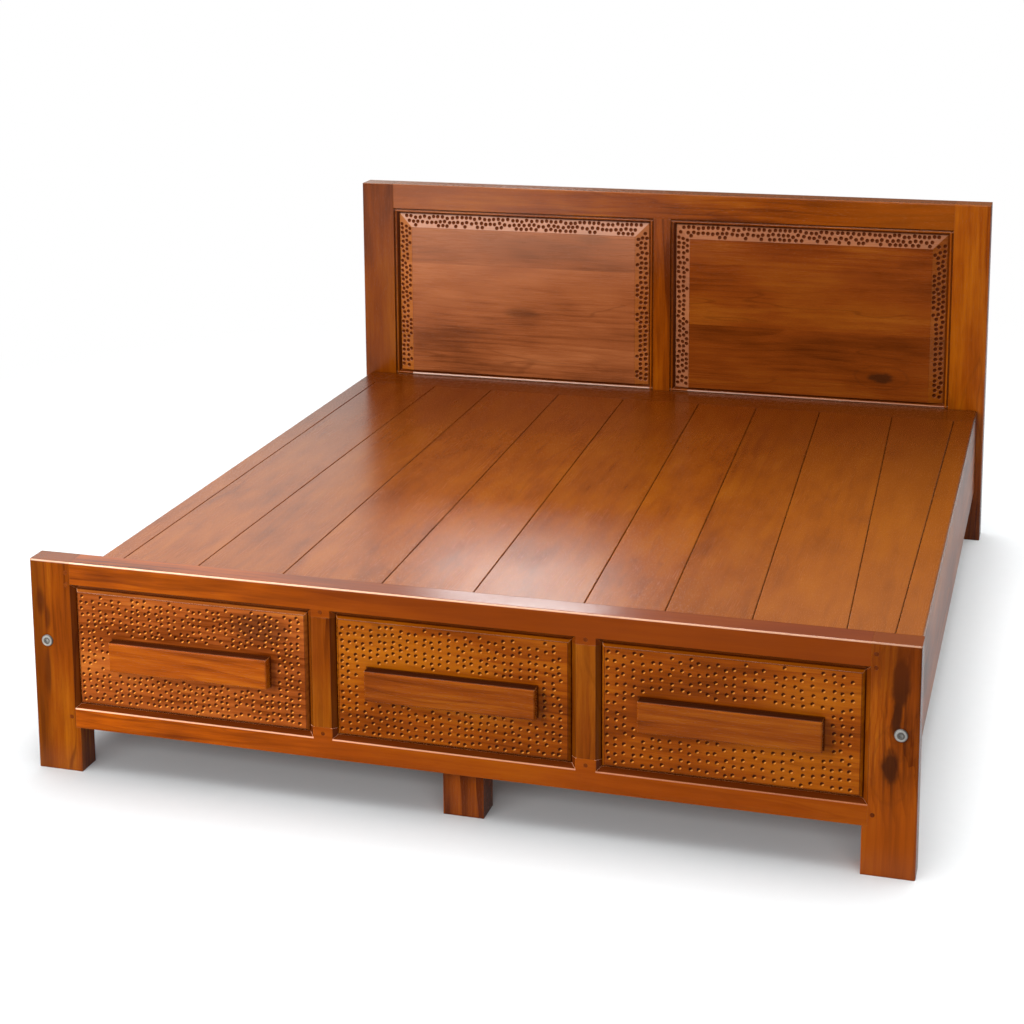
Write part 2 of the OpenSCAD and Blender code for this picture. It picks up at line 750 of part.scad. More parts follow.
// A board from a0 to a1 at its foot end and from b0 to b1 at its head end, its long top
// edges eased
module board(a0, a1, b0, b1, y0, y1) {
  difference() {
    slab_z(board_z0, deck_z) polygon([[a0, y0], [a1, y0], [b1, y1], [b0, y1]]);
    edge_ease([a0, y0], [b0, y1], 1);
    edge_ease([a1, y0], [b1, y1], -1);
  }
}

// Cuts a chamfer along the top edge from p to q of a board that lies on the side of sign s
module edge_ease(p, q, s) {
  e = board_ease;
  translate([p[0], p[1], deck_z]) rotate([0, 0, -atan2(q[0] - p[0], q[1] - p[1])])
    slab_y(-e, norm(q - p) + e) polygon([[-s * e, -2 * e], [s * 2 * e, e], [-s * e, e]]);
}

function total(v, n) = n <= 0 ? 0 : v[n - 1] + total(v, n - 1);
function seam_x(shares, i) =
  -strip_x0 + 2 * strip_x0 * total(shares, i) / total(shares, len(shares));

module deck_board(i) {
  g = board_gap / 2;
  board(seam_x(shares_foot, i - 1) + g, seam_x(shares_foot, i) - g,
    seam_x(shares_head, i - 1) + g, seam_x(shares_head, i) - g,
    board_y0 + g, board_y1 - g);
}

// The border strip on top of the right-hand rail: its outer edge is rounded
module deck_border(s) {
  g = board_gap / 2;
  e = board_ease;
  mirror([s < 0 ? 1 : 0, 0, 0]) slab_y(board_y0 + g, board_y1 - g)
    polygon(concat([[strip_x0 + g, deck_z - e], [strip_x0 + g, board_z0], [rail_x1, board_z0]],
      arc(rail_x1 - edge_r, deck_z - edge_r, edge_r, 0), [[strip_x0 + g + e, deck_z]]));
}

// The strip across the deck at one end, between y0 and y1: its outer ends are rounded
module deck_cross_strip(y0, y1) {
  e = board_ease;
  intersection() {
    slab_x(-half_w, half_w) polygon([[y0, board_z0], [y0, deck_z - e], [y0 + e, deck_z],
      [y1 - e, deck_z], [y1, deck_z - e], [y1, board_z0]]);
    slab_y(y0 - 1, y1 + 1) polygon(concat([[-rail_x1, board_z0 - 1], [rail_x1, board_z0 - 1]],
      arc(rail_x1 - edge_r, deck_z - edge_r, edge_r, 0),
      arc(edge_r - rail_x1, deck_z - edge_r, edge_r, 90)));
  }
}

// The nodes

module head_post_left() { color(wood_light) head_post(-1); }
module head_post_right() { color(wood_light) head_post(1); }
module head_top_rail() {
  color(wood_mid) head_rail(head_h, head_z1) head_top_tenon(0);
}
module head_bottom_rail() {
  color(wood_mid) head_rail(head_gap, head_z0) head_bottom_tenon(0);
}
module head_muntin() {
  m = head_muntin_face / 2;
  color(wood_mid) difference() {
    union() {
      slab_y(deck_y1, head_y1) polygon([[-m, head_z0], [-m - bead_w, head_z0 + bead_w],
        [-m - bead_w, head_z1 - bead_w], [-m, head_z1], [m, head_z1],
        [m + bead_w, head_z1 - bead_w], [m + bead_w, head_z0 + bead_w], [m, head_z0]]);
      head_muntin_tenons(0);
    }
    head_openings();
  }
}
module head_panel_left() { color(wood_light) head_panel(-1); }
module head_panel_right() { color(wood_light) head_panel(1); }

module foot_post_left() { color(wood_light) foot_post(-1); }
module foot_post_right() { color(wood_light) foot_post(1); }
module foot_top_rail() {
  color(wood_mid) foot_rail(foot_h, foot_z1, ear_top) foot_top_tenon(0);
}
module foot_bottom_rail() {
  color(wood_mid) foot_rail(foot_gap, foot_z0, ear_bottom) foot_bottom_tenon(0);
}
module foot_muntin_left() { color(wood_mid) foot_muntin(0); }
module foot_muntin_right() { color(wood_mid) foot_muntin(1); }
module foot_panel_left() { color(wood_light) foot_panel(0); }
module foot_panel_middle() { color(wood_light) foot_panel(1); }
module foot_panel_right() { color(wood_light) foot_panel(2); }
module foot_bar_left() { color(wood_mid) foot_bar(0); }
module foot_bar_middle() { color(wood_mid) foot_bar(1); }
module foot_bar_right() { color(wood_mid) foot_bar(2); }

module side_rail_left() { color(wood_light) side_rail(-1); }
module side_rail_right() { color(wood_light) side_rail(1); }
module ledger_left() { color(wood_dark) ledger(-1); }
module ledger_right() { color(wood_dark) ledger(1); }

module deck_border_left() { color(wood_deck) deck_border(-1); }
module deck_border_right() { color(wood_deck) deck_border(1); }
module deck_head_strip() { color(wood_deck) deck_cross_strip(board_y1, deck_y1); }
module deck_foot_strip() { color(wood_deck) deck_cross_strip(deck_y0, board_y0); }

head_post_left();
head_post_right();
head_top_rail();
head_bottom_rail();
head_muntin();
head_panel_left();
head_panel_right();
foot_post_left();
foot_post_right();
foot_top_rail();
foot_bottom_rail();
foot_muntin_left();
foot_muntin_right();
foot_panel_left();
foot_panel_middle();
foot_panel_right();
foot_bar_left();
foot_bar_middle();
foot_bar_right();
side_rail_left();
side_rail_right();
ledger_left();
ledger_right();
deck_border_left();
deck_border_right();
deck_head_strip();
deck_foot_strip();
for (i = [1:len(shares_foot)])
  color(wood_deck) deck_board(i);
color(wood_dark) centre_beam();
color(wood_dark) centre_leg_foot();
color(wood_dark) centre_leg(0);  // centre_leg_middle
color(wood_dark) centre_leg(deck_y1 - leg_d);  // centre_leg_head
color(wood_dark) bearer(0, end_bearer_w);  // end_bearer_foot
for (i = [1:mid_bearers])
  color(wood_dark) bearer(i, bearer_w);
color(wood_dark) bearer(mid_bearers + 1, end_bearer_w);  // end_bearer_head
color(wood_dark) peg_row(peg_d, foot_y);  // joint_pegs
color(metal) bed_bolts();
color(metal) barrel_nuts();
color(wood_light) rail_dowels();
color(metal) ledger_screws();
color(metal) bearer_screws();
color(metal) beam_screw_row(0);  // beam_screws
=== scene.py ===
import math
import random

import bpy
from mathutils import Matrix, Vector
from mathutils.geometry import delaunay_2d_cdt


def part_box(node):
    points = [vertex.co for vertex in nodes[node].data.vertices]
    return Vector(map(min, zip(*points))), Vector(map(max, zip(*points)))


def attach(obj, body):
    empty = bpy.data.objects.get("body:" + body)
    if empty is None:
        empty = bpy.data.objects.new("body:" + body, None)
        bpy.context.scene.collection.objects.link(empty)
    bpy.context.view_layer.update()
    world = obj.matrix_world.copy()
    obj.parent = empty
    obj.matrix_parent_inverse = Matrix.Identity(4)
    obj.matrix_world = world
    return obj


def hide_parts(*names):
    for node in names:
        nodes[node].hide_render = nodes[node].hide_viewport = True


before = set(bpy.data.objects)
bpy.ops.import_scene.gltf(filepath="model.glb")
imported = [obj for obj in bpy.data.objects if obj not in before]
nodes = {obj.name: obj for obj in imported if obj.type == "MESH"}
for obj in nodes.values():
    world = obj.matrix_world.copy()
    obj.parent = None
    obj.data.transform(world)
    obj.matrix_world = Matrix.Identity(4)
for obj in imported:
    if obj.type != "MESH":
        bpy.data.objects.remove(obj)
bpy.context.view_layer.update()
scene = bpy.context.scene
print("frame loaded:", len(nodes), "nodes")


# Shader graphs: a Wire wraps one socket, so that node maths reads as plain sums

class Wire:
    def __init__(self, graph, socket):
        self.graph = graph
        self.socket = socket

    def __add__(self, other):
        return self.graph.maths("ADD", self, other)

    def __sub__(self, other):
        return self.graph.maths("SUBTRACT", self, other)

    def __mul__(self, other):
        return self.graph.maths("MULTIPLY", self, other)

    def __truediv__(self, other):
        return self.graph.maths("DIVIDE", self, other)

    def __pow__(self, other):
        return self.graph.maths("POWER", self, other)

    def __radd__(self, other):
        return self.graph.maths("ADD", other, self)

    def __rsub__(self, other):
        return self.graph.maths("SUBTRACT", other, self)

    def __rmul__(self, other):
        return self.graph.maths("MULTIPLY", other, self)

    def __neg__(self):
        return self.graph.maths("MULTIPLY", self, -1.0)


shadingSamples = 4


class Graph:
    def __init__(self, tree):
        self.tree = tree
        tree.nodes.clear()

    # any node: its settings are set first, then its sockets get values or links
    def add(self, kind, settings=None, sockets=None, out=0):
        node = self.tree.nodes.new(kind)
        for name, value in (settings or {}).items():
            if name == "stops":
                self.setStops(node.color_ramp.elements, value)
            else:
                setattr(node, name, value)
        for name, value in (sockets or {}).items():
            self.feed(node.inputs[name], value)
        return Wire(self, node.outputs[out]) if len(node.outputs) else node

    def feed(self, socket, value):
        if isinstance(value, Wire):
            self.tree.links.new(value.socket, socket)
        else:
            socket.default_value = value

    def setStops(self, elements, stops):
        while len(elements) < len(stops):
            elements.new(0.5)
        for element, (level, colour) in zip(elements, stops):
            element.position = level
            element.color = rgba(colour)

    def maths(self, operation, *values):
        return self.add("ShaderNodeMath", {"operation": operation}, dict(enumerate(values)))

    def vector(self, x, y, z):
        return self.add("ShaderNodeCombineXYZ", None, {"X": x, "Y": y, "Z": z})

    def split(self, wire):
        node = self.add("ShaderNodeSeparateXYZ", None, {0: wire}).socket.node
        return [Wire(self, output) for output in node.outputs]

    # where on the bed, in metres
    def place(self):
        return self.add("ShaderNodeTexCoord", None, None, "Object")

    # the normal of the bare face
    def facing(self):
        return self.add("ShaderNodeNewGeometry", None, None, "Normal")

    # the normal with edges rounded off
    def rounded(self, radius):
        return self.add("ShaderNodeBevel", {"samples": shadingSamples}, {"Radius": radius})

    # how open the spot is: 0 deep in a corner, 1 on a free face
    def hollow(self, reach):
        return self.add("ShaderNodeAmbientOcclusion", {"samples": shadingSamples},
                        {"Distance": reach}, "AO")

    # 0 below low, 1 above high, smooth between
    def step(self, wire, low, high):
        return self.add("ShaderNodeMapRange", {"interpolation_type": "SMOOTHSTEP"},
                        {"Value": wire, "From Min": low, "From Max": high})

    # 1 from start to end, 0 outside
    def band(self, wire, start, end, soft):
        entered = self.step(wire, start - soft, start + soft)
        return entered * (1.0 - self.step(wire, end - soft, end + soft))

    def noise(self, vector, detail, rough=0.5):
        return self.add("ShaderNodeTexNoise", None, {
            "Vector": vector, "Scale": 1.0, "Detail": detail, "Roughness": rough})

    def mix(self, factor, a, b, blend="MIX"):
        settings = {"data_type": "RGBA", "blend_type": blend}
        return self.add("ShaderNodeMix", settings, {0: factor, 6: a, 7: b}, 2)

    def ramp(self, wire, stops):
        return self.add("ShaderNodeValToRGB", {"stops": stops}, {0: wire})

    def bump(self, height, normal, strength, distance):
        return self.add("ShaderNodeBump", None, {
            "Strength": strength, "Distance": distance, "Height": height, "Normal": normal})

    def ray(self, kind):
        return self.add("ShaderNodeLightPath", None, None, "Is %s Ray" % kind)

    def show(self, shader, output="ShaderNodeOutputMaterial"):
        self.add(output, None, {"Surface": shader})


def newMaterial(name):
    material = bpy.data.materials.new(name)
    material.use_nodes = True
    return material, Graph(material.node_tree)


def rgba(colour):
    return (*colour, 1.0)


# Wood: growth rings round a heart line, fibres, soft clouds, thin veins and dark streaks. Lengths
# are metres, the grain runs along one axis of the bed, and a piece changes what it needs to.

teak = {
    "dark": (0.115, 0.0190, 0.0006),
    "mid": (0.300, 0.0580, 0.0007),
    "light": (0.470, 0.1260, 0.0024),
    "levels": (0.10, 0.48, 0.90),  # of the figure, for the three colours above
    # stain colour, also used for painted shade: in grooves, on faces that look down or up, in
    # creases, round the bars and in the pits' shaded walls
    "stain": (0.030, 0.0055, 0.0012),
    "pale": (0.85, 0.460, 0.290),
    "tone": 1.0,
    "red": 0.0,
    "heart": (0.05, 0.16),  # middle of the rings, on the two axes across the grain
    "along": 0.0,  # shift of the figure along the grain
    "rings": 70.0,  # per metre
    "ringDepth": 0.30,
    "cloud": 1.0,
    "figure": 1.0,
    "streaks": 0.22,
    "veins": 0.35,
    "pores": 0.25,
    "flecks": 0.22,
    "flame": 0.0,
    "knots": [],  # centre, size and stretch along the grain
    "knotColour": (0.075, 0.0190, 0.0045),
    "smudges": [],  # centre, half sizes and strength
    "planks": [],  # height of a joint, then jump of figure and change of tone above it
    "fades": [],  # axis, start, end, tint and strength
    "openings": [],  # outlines that the bands and the painted highlight on edges follow
    "bands": [],  # start and end outside an opening, strength and colour
    "bars": [],  # outlines of bars, with a thin line of painted shade round each
    "lines": [],  # painted highlight lines: x and z limits, tint, strength at the left and the right end
    "slopes": [],  # painted light by how a face is turned: axis and direction of the normal, tint and strength
    "under": 0.0,  # painted shade on faces that look down
    "upper": 0.0,  # painted shade, matt, on faces that look up
    # painted light and shade in the pits: pitLight on walls that face the lamp, the
    # stain-and-shade colour on the others
    "pit": 0.0,
    "pitLight": (0.045, 0.0100, 0.0030),
    # painted shade in corners and creases
    "crease": 0.7,
    "edge": 0.0022,
    # edge tint, part wear and part painted highlight
    "worn": 0.35,
    "wornTo": "light",
    # painted highlight on edges that look up
    "glint": 0.0,
    "crest": 9.0,  # height of a top edge that takes a painted highlight all along
    "rough": 0.24,
    "ior": 1.36,
}
axisOrder = {"x": (0, 1, 2), "y": (1, 0, 2), "z": (2, 0, 1)}

# Noises: waves per metre along and across the grain, detail, roughness and offset
grains = {
    "waver": (1.3, 3.0, 2.0, 0.5, 0.0),
    "waverDown": (2.1, 4.0, 1.0, 0.5, 7.0),
    "fray": (28.0, 55.0, 2.0, 0.5, 0.0),
    "ring": (1.5, 11.0, 2.0, 0.5, 0.0),
    "ringsHere": (1.7, 6.0, 1.0, 0.5, 4.0),
    "fibre": (14.0, 430.0, 2.0, 0.6, 0.0),
    "strand": (4.0, 80.0, 3.0, 0.6, 0.0),
    "cloud": (2.6, 8.0, 3.0, 0.5, 2.0),
    "pore": (60.0, 1200.0, 1.0, 0.5, 0.0),
    "flame": (6.0, 19.0, 3.0, 0.6, 9.0),
    "streak": (1.6, 34.0, 3.0, 0.6, 0.0),
    "fleck": (15.0, 270.0, 2.0, 0.6, 5.0),
    "vein": (1.8, 13.0, 2.0, 0.5, 0.0),
    "veinsHere": (1.2, 7.0, 1.0, 0.5, 11.0),
    "smear": (5.0, 16.0, 3.0, 0.5, 0.0),
}

# Levels at which a mark starts to show and is full
marks = {
    "lateWood": (0.45, 0.97),
    "ringsHere": (0.36, 0.60),
    "pore": (0.60, 0.72),
    "streak": (0.56, 0.70),
    "fleck": (0.58, 0.74),
    "veinLine": (0.86, 0.98),
    "veinsHere": (0.46, 0.62),
    "smudge": (0.05, 1.3),
    "knotRim": (0.72, 1.0),
    "hollow": (0.25, 0.80),
    "edge": (0.80, 0.995),
}

# How far a face has turned to its side before it takes painted shade or painted light, and where
# that is full
turns = {
    "front": (0.20, 0.50),
    "slope": (0.10, 0.18),
    "under": (0.35, 0.65),
    "upper": (0.55, 0.95),
    "pitLight": (0.25, 0.52),
    "glint": (0.12, 0.50),
    "level": (0.90, 0.99),
}

# A knot in shares of its size: its dark core, the rings that bend round it and their rims
knotLook = {
    "core": (0.5, 1.05),
    "halo": (1.2, 3.2),
    "fray": 0.9,
    "ripples": 1.7,
    "coreShare": 0.88,
    "rimShare": 0.25,
    "push": 0.8,
}

# What else shapes the wood
grainLook = {
    "waver": (0.050, 0.040),
    "ringWaver": 2.4,
    "veinTurns": 9.0,
    "smudgeFray": 1.2,
    "toLevel": {"cloud": 1.5, "strand": 0.75, "fibre": 0.30},
    "toRough": {"smear": 0.08, "fibre": 0.05, "pore": 0.06, "matt": 0.3},
    "toRidge": {"smear": 0.4, "strand": 0.35, "fibre": 0.30, "pore": 0.20},
    "bump": 0.16,
    "ridge": 0.0006,
    "dullRough": 0.75,
    "dullShare": 0.9,
    "creaseReach": 0.008,
}

# Soft ends of the bands and lines of stain, painted shade and painted highlight, and where they
# lie
lineLook = {
    "bandSoft": 0.0005,
    "lineSoft": 0.0004,
    # where edges take the painted highlight: a band round the openings
    "glintZone": (-0.0185, 0.0025),
    "crestLow": 0.0055,
    "barEdge": (0.0012, 0.0034),
    "barShare": 0.85,
    "pitLightFrom": (-0.45, 0.8),  # shares of the normal's x and z
}


def wood(name, axis, **changes):
    look = dict(teak, **changes)
    material, g = newMaterial(name)
    place = g.split(g.place())
    facing = g.facing()
    normal = g.split(facing)
    order = axisOrder[axis]
    u = place[order[0]] + look["along"]
    sides = (place[order[1]], place[order[2]])
    dark, stain = rgba(look["dark"]), rgba(look["stain"])

    def grain(kind, bent=None):
        along, across, detail, rough, offset = grains[kind]
        v, w = bent or sides
        return g.noise(g.vector(u * along + offset, v * across, w * across), detail, rough)

    def mark(kind, bent=None):
        return g.step(grain(kind, bent), *marks[kind])

    # how far outside an outline a point lies in the front view, below 0 inside it
    def outsideOf(cx, cz, halfWide, halfTall):
        dx = g.maths("ABSOLUTE", place[0] - cx) - halfWide
        dz = g.maths("ABSOLUTE", place[2] - cz) - halfTall
        return g.maths("MAXIMUM", dx, dz)

    # planks glued edge to edge: each one above a joint has figure and tone of its own
    tone = look["tone"]
    for height, jump, change in look["planks"]:
        above = g.maths("GREATER_THAN", place[2], height)
        u = u + above * jump
        tone = above * change + tone

    # a slow waver, so that no line is straight
    v = sides[0] + (grain("waver") - 0.5) * grainLook["waver"][0]
    w = sides[1] + (grain("waverDown") - 0.5) * grainLook["waver"][1]

    # knots push the rings aside and darken the wood, with thin dark rims round them
    knotMask = 0.0
    for centre, size, stretch in look["knots"]:
        gaps = [place[i] - centre[i] for i in order]
        far = g.maths("SQRT", (gaps[0] / stretch) ** 2.0 + gaps[1] ** 2.0 + gaps[2] ** 2.0)
        far = far + (grain("fray") - 0.5) * (size * knotLook["fray"])
        core = 1.0 - g.step(far, *[size * share for share in knotLook["core"]])
        halo = 1.0 - g.step(far, *[size * share for share in knotLook["halo"]])
        ripple = g.maths("PINGPONG", far * (knotLook["ripples"] / size), 1.0)
        rim = g.step(ripple, *marks["knotRim"]) * halo * knotLook["rimShare"]
        knot = g.maths("MAXIMUM", core * knotLook["coreShare"], rim)
        knotMask = g.maths("MAXIMUM", knot, knotMask)
        v = v + halo * (size * knotLook["push"])
    bent = (v, w)

    heartV, heartW = look["heart"]
    rings = g.maths("SQRT", (v - heartV) ** 2.0 + (w - heartW) ** 2.0) * look["rings"]
    rings = rings + grain("ring") * grainLook["ringWaver"]
    lateWood = g.step(g.maths("FRACT", rings), *marks["lateWood"]) * mark("ringsHere")
    cloud, strand, fibre, pore = grain("cloud"), grain("strand"), grain("fibre"), mark("pore")

    share, figure = grainLook["toLevel"], look["figure"]
    level = 0.5 + (cloud - 0.5) * (share["cloud"] * look["cloud"])
    level = level + (strand - 0.5) * (share["strand"] * figure)
    level = level + (fibre - 0.5) * (share["fibre"] * figure)
    level = level - lateWood * (look["ringDepth"] * figure)
    if look["flame"]:
        level = level + (grain("flame") - 0.5) * look["flame"]
    colours = [look[key] for key in ("dark", "mid", "light")]
    colour = g.ramp(level, list(zip(look["levels"], colours)))

    colour = g.mix(mark("streak", bent) * look["streaks"], colour, dark)
    colour = g.mix(pore * look["pores"], colour, dark)
    colour = g.mix(mark("fleck") * look["flecks"], colour, dark)
    if look["veins"]:
        swirl = g.maths("PINGPONG", grain("vein", bent) * grainLook["veinTurns"], 1.0)
        vein = g.step(swirl, *marks["veinLine"]) * mark("veinsHere")
        colour = g.mix(vein * look["veins"], colour, dark)
    if look["knots"]:
        colour = g.mix(knotMask, colour, rgba(look["knotColour"]))
    for centre, spread, amount in look["smudges"]:
        gaps = [((place[i] - centre[i]) / spread[i]) ** 2.0 for i in range(3)]
        far = gaps[0] + gaps[1] + gaps[2] + (strand - 0.5) * grainLook["smudgeFray"]
        smudge = 1.0 - g.step(far, *marks["smudge"])
        colour = g.mix(smudge * amount, colour, rgba(look["knotColour"]))
    for which, start, end, tint, amount in look["fades"]:
        colour = g.mix(g.step(place[which], start, end) * amount, colour, rgba(tint))

    # stain and painted shade in the mouldings, and a paler lip as painted highlight: bands that
    # follow the outline of the panel openings
    glintZone = 1.0
    if look["openings"]:
        soft = lineLook["bandSoft"]
        outside = outsideOf(*look["openings"][0])
        for opening in look["openings"][1:]:
            outside = g.maths("MINIMUM", outside, outsideOf(*opening))
        for start, end, amount, key in look["bands"]:
            band = g.band(outside, start, end, soft)
            colour = g.mix(band * amount, colour, rgba(look[key]))
        crest = look["crest"] - lineLook["crestLow"]
        glintZone = g.maths("MAXIMUM", g.band(outside, *lineLook["glintZone"], soft),
                         g.step(place[2], crest - soft, crest + soft))

    # painted shade: a thin dark line round each bar where it meets the panel
    for bar in look["bars"]:
        line = 1.0 - g.step(outsideOf(*bar), *lineLook["barEdge"])
        colour = g.mix(line * lineLook["barShare"], colour, stain)

    # painted highlight lines and painted light on turned faces of the front, then painted shade by
    # the way that a face looks
    if look["lines"] or look["slopes"]:
        front = g.step(-normal[1], *turns["front"])
    for x0, x1, z0, z1, tint, start, end in look["lines"]:
        soft = lineLook["lineSoft"]
        line = front * g.band(place[0], x0, x1, soft) * g.band(place[2], z0, z1, soft)
        fade = (place[0] - x0) * ((end - start) / (x1 - x0)) + start
        colour = g.mix(line * fade, colour, rgba(tint))
    for which, way, tint, amount in look["slopes"]:
        sloped = g.step(normal[which] * way, *turns["slope"]) * front
        colour = g.mix(sloped * amount, colour, rgba(tint))
    # painted shade on faces that look down
    if look["under"]:
        lower = g.step(-normal[2], *turns["under"])
        colour = g.mix(lower * look["under"], colour, stain)
    matt = 0.0
    # painted shade, matt, on faces that look up
    if look["upper"]:
        matt = g.step(normal[2], *turns["upper"]) * look["upper"]
        colour = g.mix(matt, colour, stain)
    # painted light and shade in the pits: walls that face the lamp take pitLight, the others the
    # stain-and-shade colour
    if look["pit"]:
        pit = g.add("ShaderNodeAttribute", {"attribute_name": "pit"}, None, "Fac") * look["pit"]
        fromX, fromZ = lineLook["pitLightFrom"]
        lit = g.step(normal[2] * fromZ + normal[0] * fromX, *turns["pitLight"])
        colour = g.mix(pit, colour, g.mix(lit, stain, rgba(look["pitLight"])))
        matt = g.maths("MAXIMUM", pit, matt)

    # painted shade in corners and creases, found by occlusion; edges take a tint that is part wear
    # and part painted highlight (darker on the deck boards), and edges that look up a painted
    # highlight
    rounded = g.rounded(look["edge"])
    crease = 0.0
    if look["crease"]:
        hollow = g.step(g.hollow(grainLook["creaseReach"]), *marks["hollow"])
        crease = (1.0 - hollow) * look["crease"]
        colour = g.mix(crease, colour, stain)
    bend = g.add("ShaderNodeVectorMath", {"operation": "DOT_PRODUCT"}, {0: rounded, 1: facing},
                 "Value")
    worn = 1.0 - g.step(bend, *marks["edge"])
    colour = g.mix(worn * look["worn"], colour, rgba(look[look["wornTo"]]))
    if look["glint"]:
        upward = g.step(g.split(rounded)[2], *turns["glint"])
        upward = upward * (1.0 - g.step(normal[2], *turns["level"]))
        glint = worn * upward * glintZone * (1.0 - crease) * look["glint"]
        colour = g.mix(glint, colour, rgba(look["pale"]))
    cool = tone * (1.0 - look["red"])
    colour = g.mix(1.0, colour, g.vector(tone, cool, cool), "MULTIPLY")

    smear = grain("smear") - 0.5
    share = grainLook["toRough"]
    roughness = look["rough"] + smear * share["smear"] + (fibre - 0.5) * share["fibre"]
    roughness = roughness + pore * share["pore"] + matt * share["matt"]
    share = grainLook["toRidge"]
    ridges = (fibre - 0.5) * share["fibre"] + (strand - 0.5) * share["strand"]
    ridges = ridges - pore * share["pore"] + smear * share["smear"]
    bump = g.bump(ridges, rounded, grainLook["bump"], grainLook["ridge"])
    shader = g.add("ShaderNodeBsdfPrincipled", None, {
        "Base Color": colour, "Roughness": roughness, "Normal": bump, "IOR": look["ior"]})
    if look["upper"] or look["pit"]:
        dull = g.add("ShaderNodeBsdfPrincipled", None, {
            "Base Color": colour, "Roughness": grainLook["dullRough"], "Normal": rounded,
            "Specular IOR Level": 0.0})
        shader = g.add("ShaderNodeMixShader", None,
                       {0: matt * grainLook["dullShare"], 1: shader, 2: dull})
    g.show(shader)
    return material


# Bright zinc on the fasteners, darker in its hollows
zinc = {
    "colour": (0.62, 0.61, 0.58),
    "rough": 0.38,
    "roughSpread": 0.15,
    "metallic": 1.0,
    "grain": 900.0,  # waves per metre
    "cloud": 110.0,
    "cloudEdge": (0.35, 0.75),
    "cloudTone": 0.72,
    "hollowDark": (0.06, 0.055, 0.05),
    "hollowDarkReach": 0.004,
    "hollowDarkEdge": (0.2, 0.9),
    "hollowDarkShare": 0.6,
    "head": None,  # middle of a bolt's head: how far out on either side, and its height
    "ring": (0.0048, 0.0072),
    "ringSoft": 0.001,
    "rim": (0.0105, 0.0125),
    "recess": (0.10, 0.085, 0.07),
    "recessShare": 0.8,
    "edge": 0.0008,
    "bump": 0.2,
    "ridge": 0.0002,
}


def metal(name, **changes):
    look = dict(zinc, **changes)
    material, g = newMaterial(name)
    place = g.place()

    def evenNoise(waves, detail):
        scaled = g.add("ShaderNodeVectorMath", {"operation": "SCALE"}, {0: place, "Scale": waves})
        return g.noise(scaled, detail)

    grain = evenNoise(look["grain"], 3.0)
    cloud = g.step(evenNoise(look["cloud"], 2.0), *look["cloudEdge"])
    darker = [part * look["cloudTone"] for part in look["colour"]]
    shade = g.mix(cloud, rgba(look["colour"]), rgba(darker))
    # darker in hollows, found by occlusion
    hollowDark = 1.0 - g.step(g.hollow(look["hollowDarkReach"]), *look["hollowDarkEdge"])
    shade = g.mix(hollowDark * look["hollowDarkShare"], shade, rgba(look["hollowDark"]))
    if look["head"]:
        spot = g.split(place)
        out = g.maths("ABSOLUTE", spot[0]) - look["head"][0]
        out = g.maths("SQRT", out ** 2.0 + (spot[2] - look["head"][1]) ** 2.0)
        start, end = look["ring"]
        ring = g.step(out, start - look["ringSoft"], start)
        ring = ring * (1.0 - g.step(out, end, end + look["ringSoft"]))
        recess = g.maths("MAXIMUM", ring, g.step(out, *look["rim"]))
        shade = g.mix(recess * look["recessShare"], shade, rgba(look["recess"]))
    bump = g.bump(grain, g.rounded(look["edge"]), look["bump"], look["ridge"])
    g.show(g.add("ShaderNodeBsdfPrincipled", None, {
        "Base Color": shade, "Metallic": look["metallic"], "Normal": bump,
        "Roughness": look["rough"] + (grain - 0.5) * look["roughSpread"]}))
    return material


def dress(node, material):
    mesh = nodes[node].data
    if not mesh.materials:
        mesh.materials.append(material)
    for i in range(len(mesh.materials)):
        mesh.materials[i] = material


def dressAll(pieces, common=None):
    for node, (axis, look) in pieces.items():
        dress(node, wood(node, axis, **dict(common or {}, **look)))


# Middle and half sizes of a piece in the front view
def outlineOf(node, lap=0.0):
    low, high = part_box(node)
    return ((low.x + high.x) / 2, (low.z + high.z) / 2,
            (high.x - low.x) / 2 + lap, (high.z - low.z) / 2 + lap)


# A line along the foot of each opening, with a strength at its left and at its right end
def linesUnder(openings, ends, height, tint, shares):
    lines = []
    for (cx, cz, halfWide, halfTall), share in zip(openings, shares):
        foot = cz - halfTall
        lines.append((cx - halfWide + ends[0], cx + halfWide - ends[1], foot + height[0],
                      foot + height[1], tint, *share))
    return lines


# Headboard frame
mouldingLap = 0.006  # a panel's tongue ends this far inside the moulding's outer edge
headOpenings = [outlineOf("head_panel_" + side, mouldingLap) for side in ("left", "right")]
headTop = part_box("head_top_rail")[1].z
# stain and painted shade in the moulding bands, and a painted highlight on upward edges
headMoulding = {
    "stain": (0.085, 0.0135, 0.0012),
    "openings": headOpenings,
    "bands": [(-0.0050, -0.0003, 0.90, "stain"), (-0.0175, -0.0105, 0.85, "stain")],
    "glint": 0.6,
}
